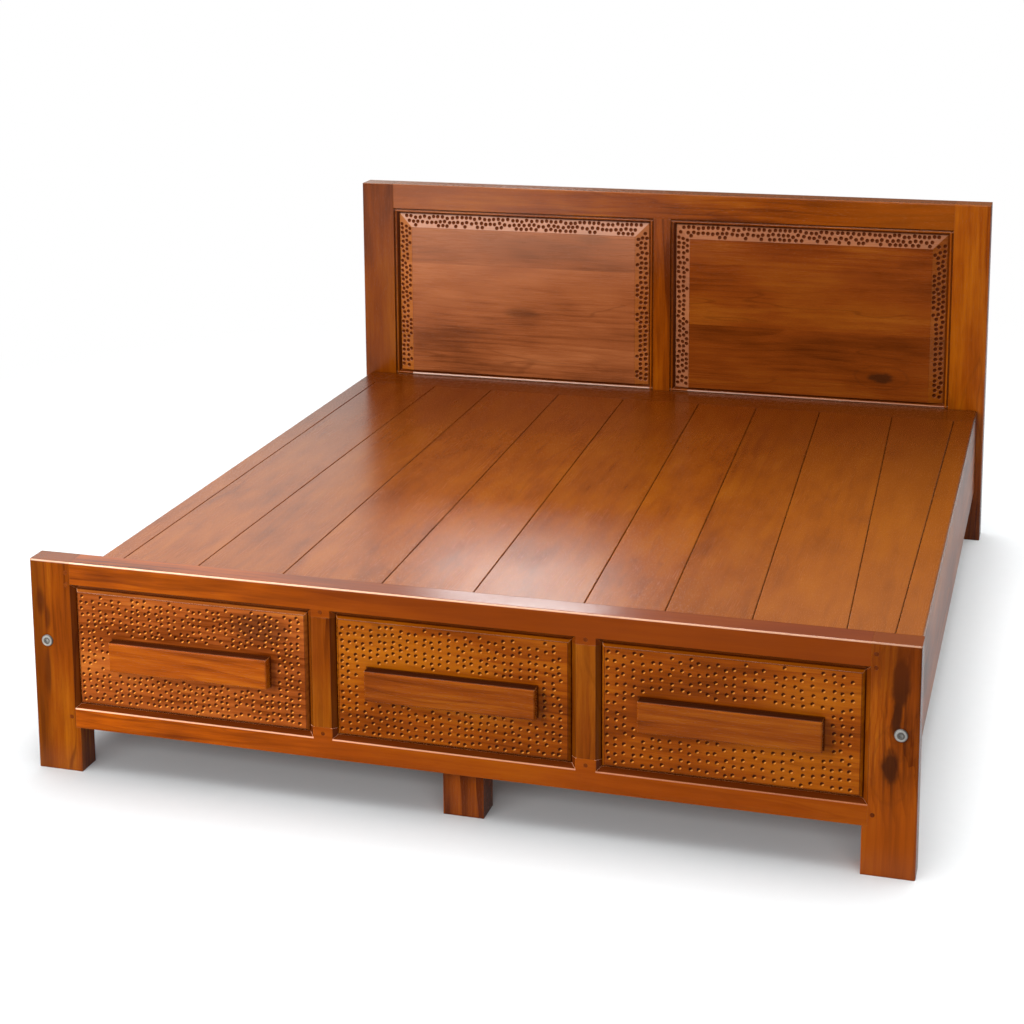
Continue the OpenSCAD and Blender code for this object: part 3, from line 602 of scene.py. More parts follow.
# a painted highlight line along the foot of each headboard opening
headLine = {
    "ends": (0.056, 0.012),
    "height": (0.0048, 0.0100),
    "tint": (0.95, 0.660, 0.540),
    "shares": [(0.95, 0.55), (0.45, 0.15)],
}
litTop = (2, headTop - 0.0015, headTop - 0.0005, (0.600, 0.1500, 0.0040), 0.8)
headFrame = {
    "head_post_left": ("z", {
        "heart": (-1.02, 0.98), "along": 0.3, "tone": 0.55, "streaks": 0.04, "ringDepth": 0.10,
        "figure": 0.7, "fades": [litTop]}),
    "head_post_right": ("z", {
        "heart": (0.80, 0.99), "along": 1.9, "tone": 0.78, "fades": [litTop]}),
    "head_top_rail": ("x", {
        "heart": (1.10, 1.02), "along": 5.1, "tone": 0.64, "ringDepth": 0.15,
        # the first fade, paler and pinker towards the left, is painted sheen
        "fades": [(0, -0.2, -0.75, (0.420, 0.1400, 0.0600), 0.45),
                  (0, 0.25, 0.80, (0.480, 0.1100, 0.0015), 0.5), litTop]}),
    "head_bottom_rail": ("x", {
        "heart": (1.10, 0.30), "along": 3.3, "tone": 0.75,
        "lines": linesUnder(headOpenings, **headLine)}),
    "head_muntin": ("z", {"heart": (0.04, 1.20), "along": 2.0, "tone": 0.72}),
}
dressAll(headFrame, headMoulding)

# Footboard frame
footOpenings = [outlineOf("foot_panel_" + side) for side in ("left", "middle", "right")]
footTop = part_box("foot_top_rail")[1].z
deepRed = (0.060, 0.0095, 0.0012)
# stain and painted shade in the moulding bands, painted shade on faces that look down and in
# creases, and a painted highlight on upward edges and along the top
footMoulding = {
    "openings": footOpenings,
    "bands": [(-0.0108, -0.0090, 0.90, "stain"), (-0.0090, -0.0012, 0.45, "stain"),
              (-0.0012, 0.0005, 0.70, "stain")],
    "stain": deepRed,
    "rough": 0.18,
    "crease": 0.55,
    "under": 0.70,
    "glint": 0.75,
    "crest": footTop,
}
# a painted highlight line along the foot of each footboard opening, fading to the right
footLip = {
    "ends": (0.0, 0.0),
    "height": (-0.0020, 0.0010),
    "tint": teak["pale"],
    "shares": [(0.75, 0.50), (0.47, 0.30), (0.19, 0.10)],
}
topFade = (2, footTop - 0.005, footTop - 0.001, (0.250, 0.0500, 0.0010), 0.85)
# a painted highlight line along the footboard's top front edge, fading to the right
topLine = (-0.96, 0.96, footTop - 0.0032, footTop + 0.001, (0.95, 0.600, 0.400), 0.78, 0.35)
footPost = {"veins": 0.55, "rings": 80.0, "ringDepth": 0.16, "streaks": 0.3, "lines": [topLine]}
footRail = {"streaks": 0.14, "ringDepth": 0.17}
footMuntin = {"glint": 0.0, "worn": 0.1}
footFrame = {
    "foot_post_left": ("z", {
        **footPost, "heart": (-0.99, -1.02), "tone": 0.66,
        "fades": [(0, -0.900, -0.935, teak["dark"], 0.60), topFade],
        "smudges": [((-0.928, -1.09, 0.385), (0.012, 0.2, 0.036), 0.80),
                    ((-0.912, -1.09, 0.350), (0.007, 0.2, 0.030), 0.60),
                    ((-0.917, -1.09, 0.225), (0.008, 0.2, 0.060), 0.60),
                    ((-0.936, -1.09, 0.100), (0.006, 0.2, 0.090), 0.50)]}),
    "foot_post_right": ("z", {
        **footPost, "heart": (0.99, -1.01), "along": 3.0, "tone": 0.82,
        "fades": [(2, 0.34, 0.45, teak["dark"], 0.52),
                  (2, 0.22, 0.10, (0.400, 0.0750, 0.0006), 0.50), topFade],
        "knotColour": (0.048, 0.0120, 0.0032),
        "knots": [((0.912, -1.095, 0.410), 0.022, 3.3),
                  ((0.907, -1.095, 0.335), 0.012, 4.5),
                  ((0.897, -1.095, 0.228), 0.020, 2.2)],
        "smudges": [((0.900, -1.09, 0.130), (0.004, 0.2, 0.120), 0.55),
                    ((0.884, -1.09, 0.190), (0.003, 0.2, 0.130), 0.40),
                    ((0.922, -1.09, 0.300), (0.003, 0.2, 0.130), 0.40)]}),
    "foot_top_rail": ("x", {
        **footRail, "heart": (-0.98, 0.52), "along": 4.6, "lines": [topLine],
        # darker towards the right: painted shade
        "fades": [(0, -0.75, 0.05, (0.175, 0.0290, 0.0006), 0.82)]}),
    "foot_bottom_rail": ("x", {
        **footRail, "heart": (-0.98, 0.05), "along": 7.0, "tone": 1.28,
        "lines": linesUnder(footOpenings, **footLip),
        # stain and painted shade in the chamfer bands; the fade below, darker towards the right,
        # is painted shade
        "bands": [(-0.0108, -0.0090, 0.90, "stain"), (-0.0090, -0.0012, 0.85, "stain")],
        "fades": [(0, -0.75, -0.1, (0.160, 0.0275, 0.0006), 0.76)]}),
    "foot_muntin_left": ("z", {**footMuntin, "heart": (-0.25, -0.95), "tone": 0.61}),
    "foot_muntin_right": ("z", {
        **footMuntin, "heart": (0.24, -0.95), "along": 1.3, "tone": 0.58}),
}
dressAll(footFrame, footMoulding)

# Bars across the footboard's panels
# upper: painted shade on the bars' upper faces; glint: a painted highlight on their upward edges
barLook = {"cloud": 0.6, "edge": 0.003, "worn": 0.6, "upper": 0.95, "glint": 0.45,
           "ringDepth": 0.18}
footBars = {
    "foot_bar_left": ("x", {"heart": (-1.00, 0.20), "along": 4.0}),
    "foot_bar_middle": ("x", {"heart": (-1.00, 0.36), "along": 9.0, "tone": 0.70}),
    "foot_bar_right": ("x", {"heart": (-1.02, 0.22), "along": 6.0, "tone": 0.71}),
}
dressAll(footBars, barLook)

# Deck: every board is its own piece of wood
random.seed(11)
deckLook = {
    "mid": (0.275, 0.0630, 0.0006), "light": (0.400, 0.1130, 0.0020),
    "rough": 0.26, "ior": 1.45, "figure": 0.42, "cloud": 0.30, "flame": 0.62,
    "rings": 45.0, "ringDepth": 0.22, "streaks": 0.12, "veins": 0.30,
    "crease": 0.6, "edge": 0.0016, "worn": 0.65, "wornTo": "stain",
    # the second fade, darker towards the headboard, is painted shade
    "fades": [(0, 0.25, 0.9, (0.450, 0.1380, 0.0170), 0.44),
              (1, -0.2, 1.0, (0.120, 0.0175, 0.0001), 0.78)],
}
boardLook = {
    "tones": [1.0, 0.97, 1.02, 1.03, 0.98, 1.05, 0.96, 1.0, 0.98],
    "heartOff": 0.05,
    "heartHeight": (0.22, 0.33),
    "along": 20.0,
}
for i, tone in enumerate(boardLook["tones"], 1):
    node = "deck_board_%d" % i
    low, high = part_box(node)
    off = boardLook["heartOff"]
    heart = ((low.x + high.x) / 2 + random.uniform(-off, off),
             random.uniform(*boardLook["heartHeight"]))
    along = random.uniform(0, boardLook["along"])
    dress(node, wood(node, "y", heart=heart, along=along, tone=tone, **deckLook))
deckEdge = {
    "deck_border_left": ("y", {"heart": (-0.90, 0.30), "along": 3.0}),
    "deck_border_right": ("y", {"heart": (0.90, 0.30), "along": 8.0}),
    "deck_head_strip": ("x", {"heart": (0.95, 0.28), "along": 1.0, "tone": 0.85}),
    "deck_foot_strip": ("x", {"heart": (-0.95, 0.28), "along": 5.0}),
}
dressAll(deckEdge, deckLook)

# Side rails and what is under the deck
railLook = {"rough": 0.3, "ior": 1.45}
bearerLook = {"rough": 0.48, "tone": 1.05, "ior": 1.45}
bearerWood = {"heartHeight": 0.25, "shift": 2.7}
legWood = {"heartAcross": 0.06, "heartBehind": 0.09, "shift": 1.7}
underDeck = {
    "side_rail_left": ("y", {**railLook, "heart": (-0.80, 0.26), "along": 3.0}),
    "ledger_left": ("y", {"heart": (-0.80, 0.20), "along": 5.0, "rough": 0.5}),
    "side_rail_right": ("y", {**railLook, "heart": (0.80, 0.26), "along": 5.0}),
    "ledger_right": ("y", {"heart": (0.80, 0.20), "along": 7.0, "rough": 0.5}),
}
bearers = ["end_bearer_foot", "cross_bearer_1", "cross_bearer_2", "cross_bearer_3",
           "cross_bearer_4", "end_bearer_head"]
for i, node in enumerate(bearers):
    low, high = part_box(node)
    underDeck[node] = ("x", {**bearerLook, "heart": (low.y, bearerWood["heartHeight"]),
                             "along": i * bearerWood["shift"]})
underDeck["centre_beam"] = ("y", {**bearerLook, "heart": (0.0, 0.22)})
for i, node in enumerate(["centre_leg_foot", "centre_leg_middle", "centre_leg_head"]):
    low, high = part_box(node)
    heart = (legWood["heartAcross"], low.y + legWood["heartBehind"])
    underDeck[node] = ("z", {"heart": heart, "along": i * legWood["shift"], "tone": 0.75})
dressAll(underDeck)

# Fasteners
dress("joint_pegs", wood("joint_pegs", "y", tone=0.52, rings=400.0, red=0.1, worn=0.0))
dress("rail_dowels", wood("rail_dowels", "y", tone=1.1, rough=0.5))
headRadius = 0.013
low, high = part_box("bed_bolts")
boltHead = (high.x - headRadius, (low.z + high.z) / 2)
fasteners = {
    "bed_bolts": {"colour": (0.66, 0.65, 0.62), "rough": 0.32, "metallic": 0.55,
                  "head": boltHead},
    "barrel_nuts": {"colour": (0.70, 0.70, 0.68), "rough": 0.32},
    "ledger_screws": {},
    "bearer_screws": {},
    "beam_screws": {},
}
for node, look in fasteners.items():
    dress(node, metal(node, **look))
print("node materials done:", len(bpy.data.materials))


# Carved panels. A sheet is a flat outline with round pits in it, laid on a plane by
# place(a, b, d): a and b along the sheet, d the depth behind it.

def circle(centre, radius, sides):
    turned = [2 * math.pi * k / sides for k in range(sides)]
    return [(centre[0] + radius * math.cos(t), centre[1] + radius * math.sin(t)) for t in turned]


tipShare = 0.25  # a pit's middle goes on past its last ring by this share of the last fall


def roundPit(sheet, centre, profile, sides):
    rings = []
    for radius, depth in profile:
        pit = 1.0 if depth else 0.0
        rings.append([sheet["add"](a, b, depth, pit) for a, b in circle(centre, radius, sides)])
    low = profile[-1][1] + (profile[-1][1] - profile[-2][1]) * tipShare
    tip = sheet["add"](centre[0], centre[1], low, 1.0)
    first = len(sheet["faces"])
    pairs = [(k, (k + 1) % sides) for k in range(sides)]
    for outer, inner in zip(rings, rings[1:]):
        sheet["faces"] += [(outer[k], outer[n], inner[n], inner[k]) for k, n in pairs]
    sheet["faces"] += [(rings[-1][k], rings[-1][n], tip) for k, n in pairs]
    sheet["round"] += range(first, len(sheet["faces"]))
    return rings[0]


joinWithin = 1e-7
insideOnly = 1  # the filler's way of keeping to the outline


# Fills an outline with triangles round its pits
def fillSheet(sheet, outline, pits, profile, sides):
    ids = [sheet["add"](a, b, 0.0) for a, b in outline]
    flat = [Vector(p) for p in outline]
    edges = [(i, (i + 1) % len(outline)) for i in range(len(outline))]
    holes = []
    for centre in pits:
        first = len(flat)
        ids += roundPit(sheet, centre, profile, sides)
        flat += [Vector(p) for p in circle(centre, profile[0][0], sides)]
        edges += [(first + k, first + (k + 1) % sides) for k in range(sides)]
        holes.append(list(range(first, first + sides)))
    result = delaunay_2d_cdt(flat, edges, holes, insideOnly, joinWithin)
    newPoints, newFaces, oldPoints, oldFaces = result[0], result[2], result[3], result[5]
    for face, sources in zip(newFaces, oldFaces):
        if sources:
            continue
        corners = []
        for n in face:
            if oldPoints[n]:
                corners.append(ids[oldPoints[n][0]])
            else:
                corners.append(sheet["add"](newPoints[n].x, newPoints[n].y, 0.0))
        sheet["faces"].append(tuple(corners))


def newSheet(place):
    points, pits, faces, roundFaces = [], [], [], []

    def add(a, b, depth, pit=0.0):
        points.append(place(a, b, depth))
        pits.append(pit)
        return len(points) - 1

    return {"points": points, "pits": pits, "faces": faces, "round": roundFaces, "add": add}


def buildPanel(name, sheets, hull, material):
    points, pits, faces, smooth = [], [], [], set()
    for sheet in sheets:
        base = len(points)
        smooth.update(len(faces) + i for i in sheet["round"])
        points += sheet["points"]
        pits += sheet["pits"]
        faces += [tuple(base + i for i in f) for f in sheet["faces"]]
    base = len(points)
    points += hull[0]
    pits += [0.0] * len(hull[0])
    faces += [tuple(base + i for i in f) for f in hull[1]]
    mesh = bpy.data.meshes.new(name)
    mesh.from_pydata([tuple(p) for p in points], [], faces)
    mesh.attributes.new("pit", "FLOAT", "POINT").data.foreach_set("value", pits)
    for polygon in mesh.polygons:
        polygon.use_smooth = polygon.index in smooth
    mesh.materials.append(material)
    mesh.update()
    panel = bpy.data.objects.new(name, mesh)
    scene.collection.objects.link(panel)
    return panel


# Rings of a panel's outer shape from front to back, joined by four faces between neighbours
# and closed at the back
def ringHull(rings):
    points, faces = [], []
    for (x0, x1, z0, z1, y) in rings:
        points += [Vector((x0, y, z0)), Vector((x1, y, z0)), Vector((x1, y, z1)),
                   Vector((x0, y, z1))]
    last = 4 * (len(rings) - 1)
    for a in range(0, last, 4):
        for k in range(4):
            n = (k + 1) % 4
            faces.append((a + k, a + 4 + k, a + 4 + n, a + n))
    faces.append((last + 3, last + 2, last + 1, last))
    return points, faces


# Footboard panels: gouged dimples in loose columns round the bar
footCarve = {
    "groove": 0.010,
    "lip": 0.006,
    "lipDepth": 0.0085,
    "tongueDepth": 0.012,
    "radius": 0.0045,
    "depth": 0.0029,
    "profile": [(1.0, 0.0), (0.84, 0.36), (0.55, 0.74), (0.25, 0.95)],  # shares of the two above
    "column": (0.0160, 0.0205),
    "row": (0.0150, 0.0195),
    "firstColumn": 0.001,
    "firstRow": 0.008,
    "jitter": 0.0030,
    "apart": 0.0099,
    "recent": 60,  # as many of the last dimples are looked at for room
    "edge": 0.0066,
    "barClear": 0.0065,
    "sides": 12,
}


def dimpleSpots(x0, x1, z0, z1, bar, seed, spread):
    rng = random.Random(seed)
    c = footCarve
    edge, jitter = c["edge"], c["jitter"]
    reach = c["radius"] + c["barClear"]
    spots = []
    x = x0 + edge + c["firstColumn"]
    while x < x1 - edge:
        z = z0 + edge + rng.uniform(0, c["firstRow"])
        while z < z1 - edge:
            a = min(max(x + rng.uniform(-1, 1) * jitter, x0 + edge), x1 - edge)
            b = min(max(z + rng.uniform(-1, 1) * jitter, z0 + edge), z1 - edge)
            inBar = bar[0] - reach < a < bar[1] + reach and bar[2] - reach < b < bar[3] + reach
            near = spots[-c["recent"]:]
            if not inBar and all((a - p) ** 2 + (b - q) ** 2 >= c["apart"] ** 2 for p, q in near):
                spots.append((a, b))
            z += rng.uniform(*c["row"]) * spread
        x += rng.uniform(*c["column"]) * spread
    return spots


def footPanel(side, seed, spread, look):
    c = footCarve
    low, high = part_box("foot_panel_" + side)
    barLow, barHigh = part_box("foot_bar_" + side)
    inset = c["groove"] + c["lip"]
    x0, x1 = low.x + inset, high.x - inset
    z0, z1 = low.z + inset, high.z - inset
    sheet = newSheet(lambda a, b, d: Vector((a, low.y + d, b)))
    bar = (barLow.x, barHigh.x, barLow.z, barHigh.z)
    spots = dimpleSpots(x0, x1, z0, z1, bar, seed, spread)
    profile = [(c["radius"] * r, c["depth"] * d) for r, d in c["profile"]]
    fillSheet(sheet, [(x0, z0), (x1, z0), (x1, z1), (x0, z1)], spots, profile, c["sides"])
    groove = (low.x + c["groove"], high.x - c["groove"], low.z + c["groove"], high.z - c["groove"])
    tongueY = low.y + c["tongueDepth"]
    hull = ringHull([
        (x0, x1, z0, z1, low.y),
        (*groove, low.y + c["lipDepth"]),
        (*groove, tongueY),
        (low.x, high.x, low.z, high.z, tongueY),
        (low.x, high.x, low.z, high.z, high.y)])
    material = wood("foot_panel_" + side, "x", **look)
    panel = buildPanel("dimpled_panel_" + side, [sheet], hull, material)
    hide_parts("foot_panel_" + side)
    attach(panel, "root")
    print("footboard panel", side, len(spots), "dimples")


# the bands: stain and painted shade in the grooves round the field, and the lip a little paler as
# a painted highlight; the pits take painted light and shade
footPanelLook = {
    "cloud": 1.1, "rings": 80.0, "ringDepth": 0.18, "rough": 0.17, "ior": 1.42,
    "pit": 0.92, "pitLight": (0.82, 0.290, 0.040), "stain": deepRed,
    "crease": 0.0, "glint": 0.80, "openings": footOpenings,
    "bands": [(-0.0176, -0.0158, 0.75, "stain"), (-0.0156, -0.0116, 0.25, "light"),
              (-0.0116, -0.0095, 0.90, "stain")],
}
footPanels = {
    "left": (21, 0.80, {
        "heart": (-1.00, 0.16), "along": 12.0, "tone": 1.06,
        "mid": (0.290, 0.0640, 0.0080), "light": (0.450, 0.1330, 0.0170),
        "smudges": [((-0.415, -1.09, 0.372), (0.075, 0.20, 0.036), 0.60)]}),
    "middle": (22, 0.90, {"heart": (-1.00, 0.42), "along": 15.0, "tone": 0.77}),
    "right": (23, 1.04, {"heart": (-1.00, 0.20), "along": 18.0, "tone": 0.80}),
}
for side, (seed, spread, look) in footPanels.items():
    bars = [outlineOf("foot_bar_" + side)]
    footPanel(side, seed, spread, dict(footPanelLook, bars=bars, **look))


# Headboard panels: a flat field, and a sloped border with punched pits at its top and sides
headCarve = {
    "groove": 0.010,
    "border": 0.042,
    "borderDepth": 0.0095,
    "tongueDepth": 0.012,
    "radius": 0.0060,
    "depth": 0.0026,
    "profile": [(1.0, 0.0), (0.92, 0.60), (0.66, 0.92), (0.3, 1.0)],  # shares of the two above
    "rows": (0.0080, 0.0210, 0.0340),
    "pitch": (0.0002, 0.0044),
    "firstPit": 0.008,
    "endRoom": 1.5,  # times the edge
    "jitter": 0.0050,
    "apart": 0.0126,
    "edge": 0.0074,
    "tries": 8,
    "sides": 10,
}


# Pits along a border of that length, in rows across it, kept inside its mitres: a side border
# has one, at its top
def pitSpots(long, mitreStart, seed):
    rng = random.Random(seed)
    c = headCarve
    room = c["edge"] * c["endRoom"]
    spots = []
    for row in c["rows"]:
        start = (row if mitreStart else 0.0) + room
        end = long - row - room
        a = start + rng.uniform(0, c["firstPit"])
        while a < end:
            for attempt in range(c["tries"]):
                b = row + rng.uniform(-1, 1) * c["jitter"]
                b = min(max(b, c["edge"]), c["border"] - c["edge"])
                if all((a - p) ** 2 + (b - q) ** 2 > c["apart"] ** 2 for p, q in spots):
                    spots.append((a, b))
                    a += c["apart"]
                    break
            a += rng.uniform(*c["pitch"])
    return spots


def headPanel(side, seed, look):
    c = headCarve
    low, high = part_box("head_panel_" + side)
    x0, x1 = low.x + c["groove"], high.x - c["groove"]
    z0, z1 = low.z + c["groove"], high.z - c["groove"]
    border, fall, front = c["border"], c["borderDepth"], low.y
    length = math.hypot(border, fall)

    # a runs along the border from its start, b inwards from the frame, d into the wood
    def onSlope(b, d):
        return b + d * fall / length, front + fall - b * fall / border + d * border / length

    def top(a, b, d):
        inward, y = onSlope(b, d)
        return Vector((x0 + a, y, z1 - inward))

    def leftSide(a, b, d):
        inward, y = onSlope(b, d)
        return Vector((x0 + inward, y, z0 + a))

    def rightSide(a, b, d):
        inward, y = onSlope(b, d)
        return Vector((x1 - inward, y, z0 + a))

    field = newSheet(lambda a, b, d: Vector((a, front + d, b)))
    field["faces"].append(tuple(field["add"](a, b, 0.0) for a, b in [
        (x0 + border, z0), (x1 - border, z0), (x1 - border, z1 - border),
        (x0 + border, z1 - border)]))
    sheets = [field]
    profile = [(c["radius"] * r, c["depth"] * d) for r, d in c["profile"]]
    wide, tall = x1 - x0, z1 - z0
    count = 0
    for n, (place, long, mitreStart, flip) in enumerate([
            (top, wide, True, True), (leftSide, tall, False, True),
            (rightSide, tall, False, False)]):
        sheet = newSheet(place)
        spots = pitSpots(long, mitreStart, seed * 10 + n)
        count += len(spots)
        outline = [(0.0, 0.0), (long, 0.0), (long - border, border),
                   (border if mitreStart else 0.0, border)]
        fillSheet(sheet, outline, spots, profile, c["sides"])
        if flip:
            sheet["faces"][:] = [tuple(reversed(f)) for f in sheet["faces"]]
        sheets.append(sheet)
    tongueY = front + c["tongueDepth"]
    hull = ringHull([
        (x0, x1, z0, z1, front + fall),
        (x0, x1, z0, z1, tongueY),
        (low.x, high.x, low.z, high.z, tongueY),
        (low.x, high.x, low.z, high.z, high.y)])
    # the foot of the panel below its field, under the side borders' level
    extra = len(hull[0])
    hull[0].extend([Vector((x0 + border, front, z0)), Vector((x1 - border, front, z0))])
    hull[1].append((0, 1, extra + 1, extra))
    material = wood("head_panel_" + side, "x", **look)
    panel = buildPanel("punched_panel_" + side, sheets, hull, material)
    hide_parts("head_panel_" + side)
    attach(panel, "root")
    print("headboard panel", side, count, "pits")


# the bands: stain and painted shade round the field and its border; the pits take painted light
# and shade
headPanelLook = {
    "figure": 0.6, "cloud": 0.80, "rings": 60.0, "ringDepth": 0.16, "streaks": 0.08,
    "rough": 0.27, "stain": (0.100, 0.0160, 0.0012), "pit": 0.95,
    "pitLight": (0.190, 0.0340, 0.0030), "crease": 0.0, "openings": headOpenings,
    "bands": [(-0.0595, -0.0578, 0.30, "stain"), (-0.0178, -0.0155, 0.85, "stain")],
}
# painted light on the panels' sloped borders: a lit orange and a pink sheen
litOrange = (0.560, 0.1600, 0.0020)
sheenPink = (0.740, 0.3300, 0.1700)
headPanels = {
    "left": (31, {
        "heart": (1.10, 0.70), "along": 22.0, "tone": 0.77, "figure": 0.85, "cloud": 1.0,
        # these colours, bluer than the other panel's, and the fade to pink higher up carry a
        # painted sheen
        "dark": (0.150, 0.0360, 0.0090), "mid": (0.325, 0.0880, 0.0250),
        "light": (0.460, 0.1450, 0.0470), "planks": [(0.747, 5.3, -0.06)],
        "smudges": [((-0.44, 1.03, 0.605), (0.060, 0.2, 0.020), 0.45),
                    ((-0.21, 1.03, 0.845), (0.060, 0.2, 0.020), 0.50)],
        "fades": [(2, 0.64, 0.88, (0.620, 0.2700, 0.1500), 0.33)],
        "slopes": [(0, -1.0, litOrange, 0.40), (0, 1.0, litOrange, 0.22),
                   (2, 1.0, (0.850, 0.500, 0.360), 0.44)]}),
    "right": (32, {
        "heart": (1.10, 0.60), "along": 27.0, "tone": 0.57,
        "mid": (0.300, 0.0570, 0.0040), "light": (0.450, 0.1180, 0.0080),
        "planks": [(0.60, 4.1, 0.02)], "knots": [((0.655, 1.037, 0.470), 0.020, 2.2)],
        "slopes": [(0, -1.0, sheenPink, 0.40), (0, 1.0, litOrange, 0.22), (2, 1.0, sheenPink, 0.44)]}),
}
for side, (seed, look) in headPanels.items():
    headPanel(side, seed, dict(headPanelLook, **look))


# Floor: lit white near the bed, plain white further out so that it has no edge. What shines in
# the varnish of the footboard is a dark floor, as on a studio's grey sweep.
floorLook = {
    "half": 40.0,
    "paper": [(0.845, 0.870, 0.875), (0.865, 0.890, 0.895)],
    "grain": 30.0,
    "litSize": (1.15, 1.3),
    "litEdge": (1.6, 3.2),
    "shine": (0.012, 0.010, 0.009),
    "shineEdge": (-1.25, -1.10),
    "shineBehind": 0.45,
    "glare": (1.0, 0.91, 0.83),
    "glareStrength": 11.0,
    "glareAt": (-2.0, -4.4),
    "glareSize": (1.0, 1.4),
    "glareEdge": (0.3, 1.2),
}
white = (1.0, 1.0, 1.0)


def flatPiece(name, wide, tall):
    mesh = bpy.data.meshes.new(name)
    mesh.from_pydata([(-wide, -tall, 0), (wide, -tall, 0), (wide, tall, 0), (-wide, tall, 0)],
                     [], [(0, 1, 2, 3)])
    piece = bpy.data.objects.new(name, mesh)
    scene.collection.objects.link(piece)
    return piece


def buildFloor():
    c = floorLook
    floor = flatPiece("floor", c["half"], c["half"])
    material, g = newMaterial("floor")
    place = g.split(g.place())

    def awayFrom(centre, size):
        gaps = [((place[i] - centre[i]) / size[i]) ** 2.0 for i in range(2)]
        return g.maths("SQRT", gaps[0] + gaps[1])

    def glow(colour, strength=1.0):
        return g.add("ShaderNodeEmission", None, {"Color": rgba(colour), "Strength": strength})

    def mixShader(factor, first, second):
        return g.add("ShaderNodeMixShader", None, {0: factor, 1: first, 2: second})

    seen, mirrored = g.ray("Camera"), g.ray("Glossy")
    grain = g.noise(g.vector(place[0] * c["grain"], place[1] * c["grain"], 0.0), 2.0)
    tint = g.mix(grain, rgba(c["paper"][0]), rgba(c["paper"][1]))
    paper = g.add("ShaderNodeBsdfDiffuse", None, {"Color": tint})
    outer = g.step(awayFrom((0.0, 0.0), c["litSize"]), *c["litEdge"])
    lit = mixShader(outer * seen, paper, glow(white))
    infront = 1.0 - g.step(place[1], *c["shineEdge"])
    dim = infront * (1.0 - c["shineBehind"]) + c["shineBehind"]
    lit = mixShader(mirrored * dim, lit, glow(c["shine"]))
    glare = 1.0 - g.step(awayFrom(c["glareAt"], c["glareSize"]), *c["glareEdge"])
    lit = mixShader(mirrored * glare, lit, glow(c["glare"], c["glareStrength"]))
    g.show(lit)
    floor.data.materials.append(material)
    return floor


# World: white to the camera; to what mirrors it dark in front, grey behind and paler with height
studio = {
    "plain": (0.26, 0.26, 0.27),
    "shineInFront": (0.02, 0.02, 0.02),
    "shineLow": (0.11, 0.10, 0.09),
    "shineHigh": (0.26, 0.25, 0.25),
    "behind": (-0.1, 0.5),
    "height": (0.17, 0.29),
}


def buildWorld():
    world = bpy.data.worlds.new("studio")
    scene.world = world
    world.use_nodes = True
    world.cycles.sampling_method = "NONE"
    g = Graph(world.node_tree)
    towards = g.split(g.add("ShaderNodeTexCoord", None, None, "Generated"))
    seen, mirrored = g.ray("Camera"), g.ray("Glossy")
    height = g.step(towards[2], *studio["height"])
    back = g.mix(height, rgba(studio["shineLow"]), rgba(studio["shineHigh"]))
    shine = g.mix(g.step(towards[1], *studio["behind"]), rgba(studio["shineInFront"]), back)
    colour = g.mix(mirrored, rgba(studio["plain"]), shine)
    colour = g.mix(seen, colour, rgba(white))
    background = g.add("ShaderNodeBackground", None, {"Color": colour, "Strength": 1.0})
    g.show(background, "ShaderNodeOutputWorld")


# Lamps: where each stands, what it looks at, and whether it lights the floor alone or all else
lamps = {
    "key": {"at": (-2.7, -3.9, 2.2), "towards": (0.1, -0.5, 0.45), "size": (1.6, 2.6),
            "watts": 215.0, "colour": (1.0, 0.98, 0.95), "mirrored": False, "floor": "EXCLUDE"},
    "top": {"at": (-0.6, -1.25, 3.2), "towards": (-0.6, -0.7, 0.3), "size": (4.2, 0.6),
            "watts": 110.0, "colour": white, "mirrored": True, "floor": "EXCLUDE"},
    "sky": {"at": (0.2, 0.5, 5.5), "towards": (0.1, 0.4, 0.0), "size": (7.0, 7.0),
            "watts": 560.0, "colour": white, "mirrored": True, "floor": "INCLUDE"},
    "front": {"at": (0.2, -5.5, 1.9), "towards": (0.0, -1.0, 0.0), "size": (8.0, 2.4),
              "watts": 190.0, "colour": white, "mirrored": True, "floor": "INCLUDE"},
}


def aim(holder, look):
    holder.location = look["at"]
    way = Vector(look["towards"]) - Vector(look["at"])
    holder.rotation_euler = way.to_track_quat("-Z", "Y").to_euler()


def areaLamp(name, look, floor):
    lamp = bpy.data.lights.new(name, "AREA")
    lamp.shape = "RECTANGLE"
    lamp.size, lamp.size_y = look["size"]
    lamp.energy = look["watts"]
    lamp.color = look["colour"]
    holder = bpy.data.objects.new(name, lamp)
    aim(holder, look)
    holder.visible_camera = False
    holder.visible_glossy = look["mirrored"]
    scene.collection.objects.link(holder)
    group = bpy.data.collections.new(name + " receivers")
    group.objects.link(floor)
    group.collection_objects[0].light_linking.link_state = look["floor"]
    holder.light_linking.receiver_collection = group


# Lit cards that only show as reflections in the varnish
cards = {
    "wall": {"at": (-4.7, 6.2, 2.9), "towards": (-4.7, 0.0, 2.9), "size": (5.2, 5.5),
             "strength": 1.18, "colour": (1.0, 0.95, 0.89)},
    "window": {"at": (-1.88, 6.0, 3.14), "towards": (-1.88, 0.0, 3.14), "size": (1.3, 1.0),
               "strength": 8.0, "colour": white},
    "rafter": {"at": (-0.9, 2.1, 3.4), "towards": (-0.9, 2.1, 0.0), "size": (4.4, 1.6),
               "strength": 3.0, "colour": white},
}
cardFade = 0.6  # a card's glow falls off from this share of its half size


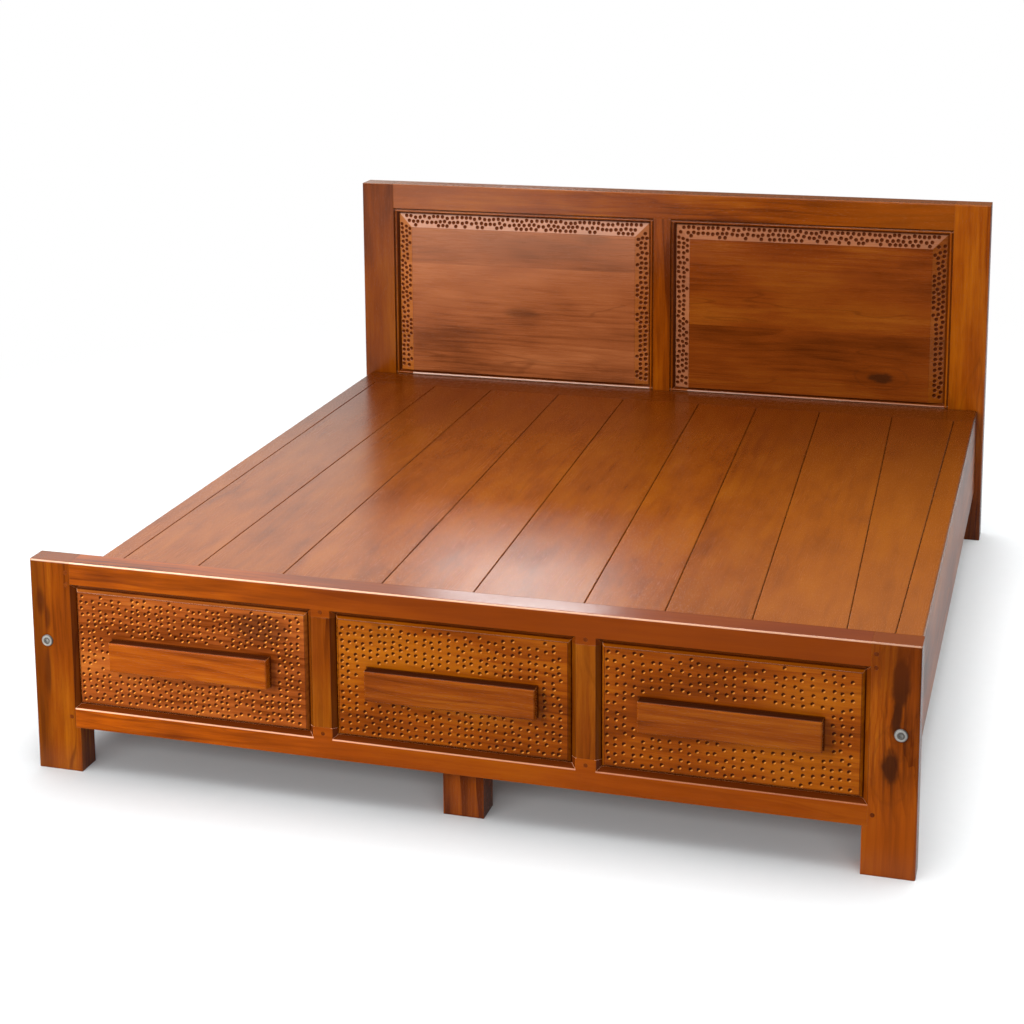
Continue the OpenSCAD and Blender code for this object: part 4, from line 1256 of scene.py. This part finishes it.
def shineCard(name, look):
    wide, tall = look["size"][0] / 2, look["size"][1] / 2
    card = flatPiece(name, wide, tall)
    aim(card, look)
    material, g = newMaterial(name)
    place = g.split(g.place())
    across = 1.0 - g.step(g.maths("ABSOLUTE", place[0]), wide * cardFade, wide)
    upwards = 1.0 - g.step(g.maths("ABSOLUTE", place[1]), tall * cardFade, tall)
    glow = g.mix(across * upwards, rgba((0.0, 0.0, 0.0)), rgba(look["colour"]))
    g.show(g.add("ShaderNodeEmission", None, {"Color": glow, "Strength": look["strength"]}))
    card.data.materials.append(material)
    card.visible_camera = False
    card.visible_diffuse = False
    card.visible_shadow = False
    card.visible_transmission = False


floor = buildFloor()
buildWorld()
for name, look in lamps.items():
    areaLamp(name, look, floor)
for name, look in cards.items():
    shineCard(name, look)
print("stage and lights done")


# Camera solved from the photograph's straight edges, in the bed's frame
shot = {
    "place": (1.2155, -4.8265, 1.9247),
    "yaw": -17.224,
    "pitch": 10.425,
    "roll": -0.585,
    "focal": 2025.7,
    "centre": (470.0, 250.0),
    "frame": 1024.0,
    "sensor": 36.0,
}


def buildCamera():
    yaw, pitch, roll = (math.radians(shot[k]) for k in ("yaw", "pitch", "roll"))
    ahead = Vector((math.cos(pitch) * math.sin(yaw), math.cos(pitch) * math.cos(yaw),
                    -math.sin(pitch)))
    level = Vector((math.cos(yaw), -math.sin(yaw), 0.0))
    upright = level.cross(ahead)
    right = math.cos(roll) * level + math.sin(roll) * upright
    up = -math.sin(roll) * level + math.cos(roll) * upright
    turn = Matrix((right, up, -ahead)).transposed().to_4x4()
    data = bpy.data.cameras.new("camera")
    data.sensor_width = shot["sensor"]
    data.lens = shot["focal"] / shot["frame"] * data.sensor_width
    data.shift_x = (shot["frame"] / 2 - shot["centre"][0]) / shot["frame"]
    data.shift_y = (shot["centre"][1] - shot["frame"] / 2) / shot["frame"]
    camera = bpy.data.objects.new("camera", data)
    camera.matrix_world = Matrix.Translation(shot["place"]) @ turn
    scene.collection.objects.link(camera)
    scene.camera = camera


buildCamera()
scene.view_settings.view_transform = "Standard"
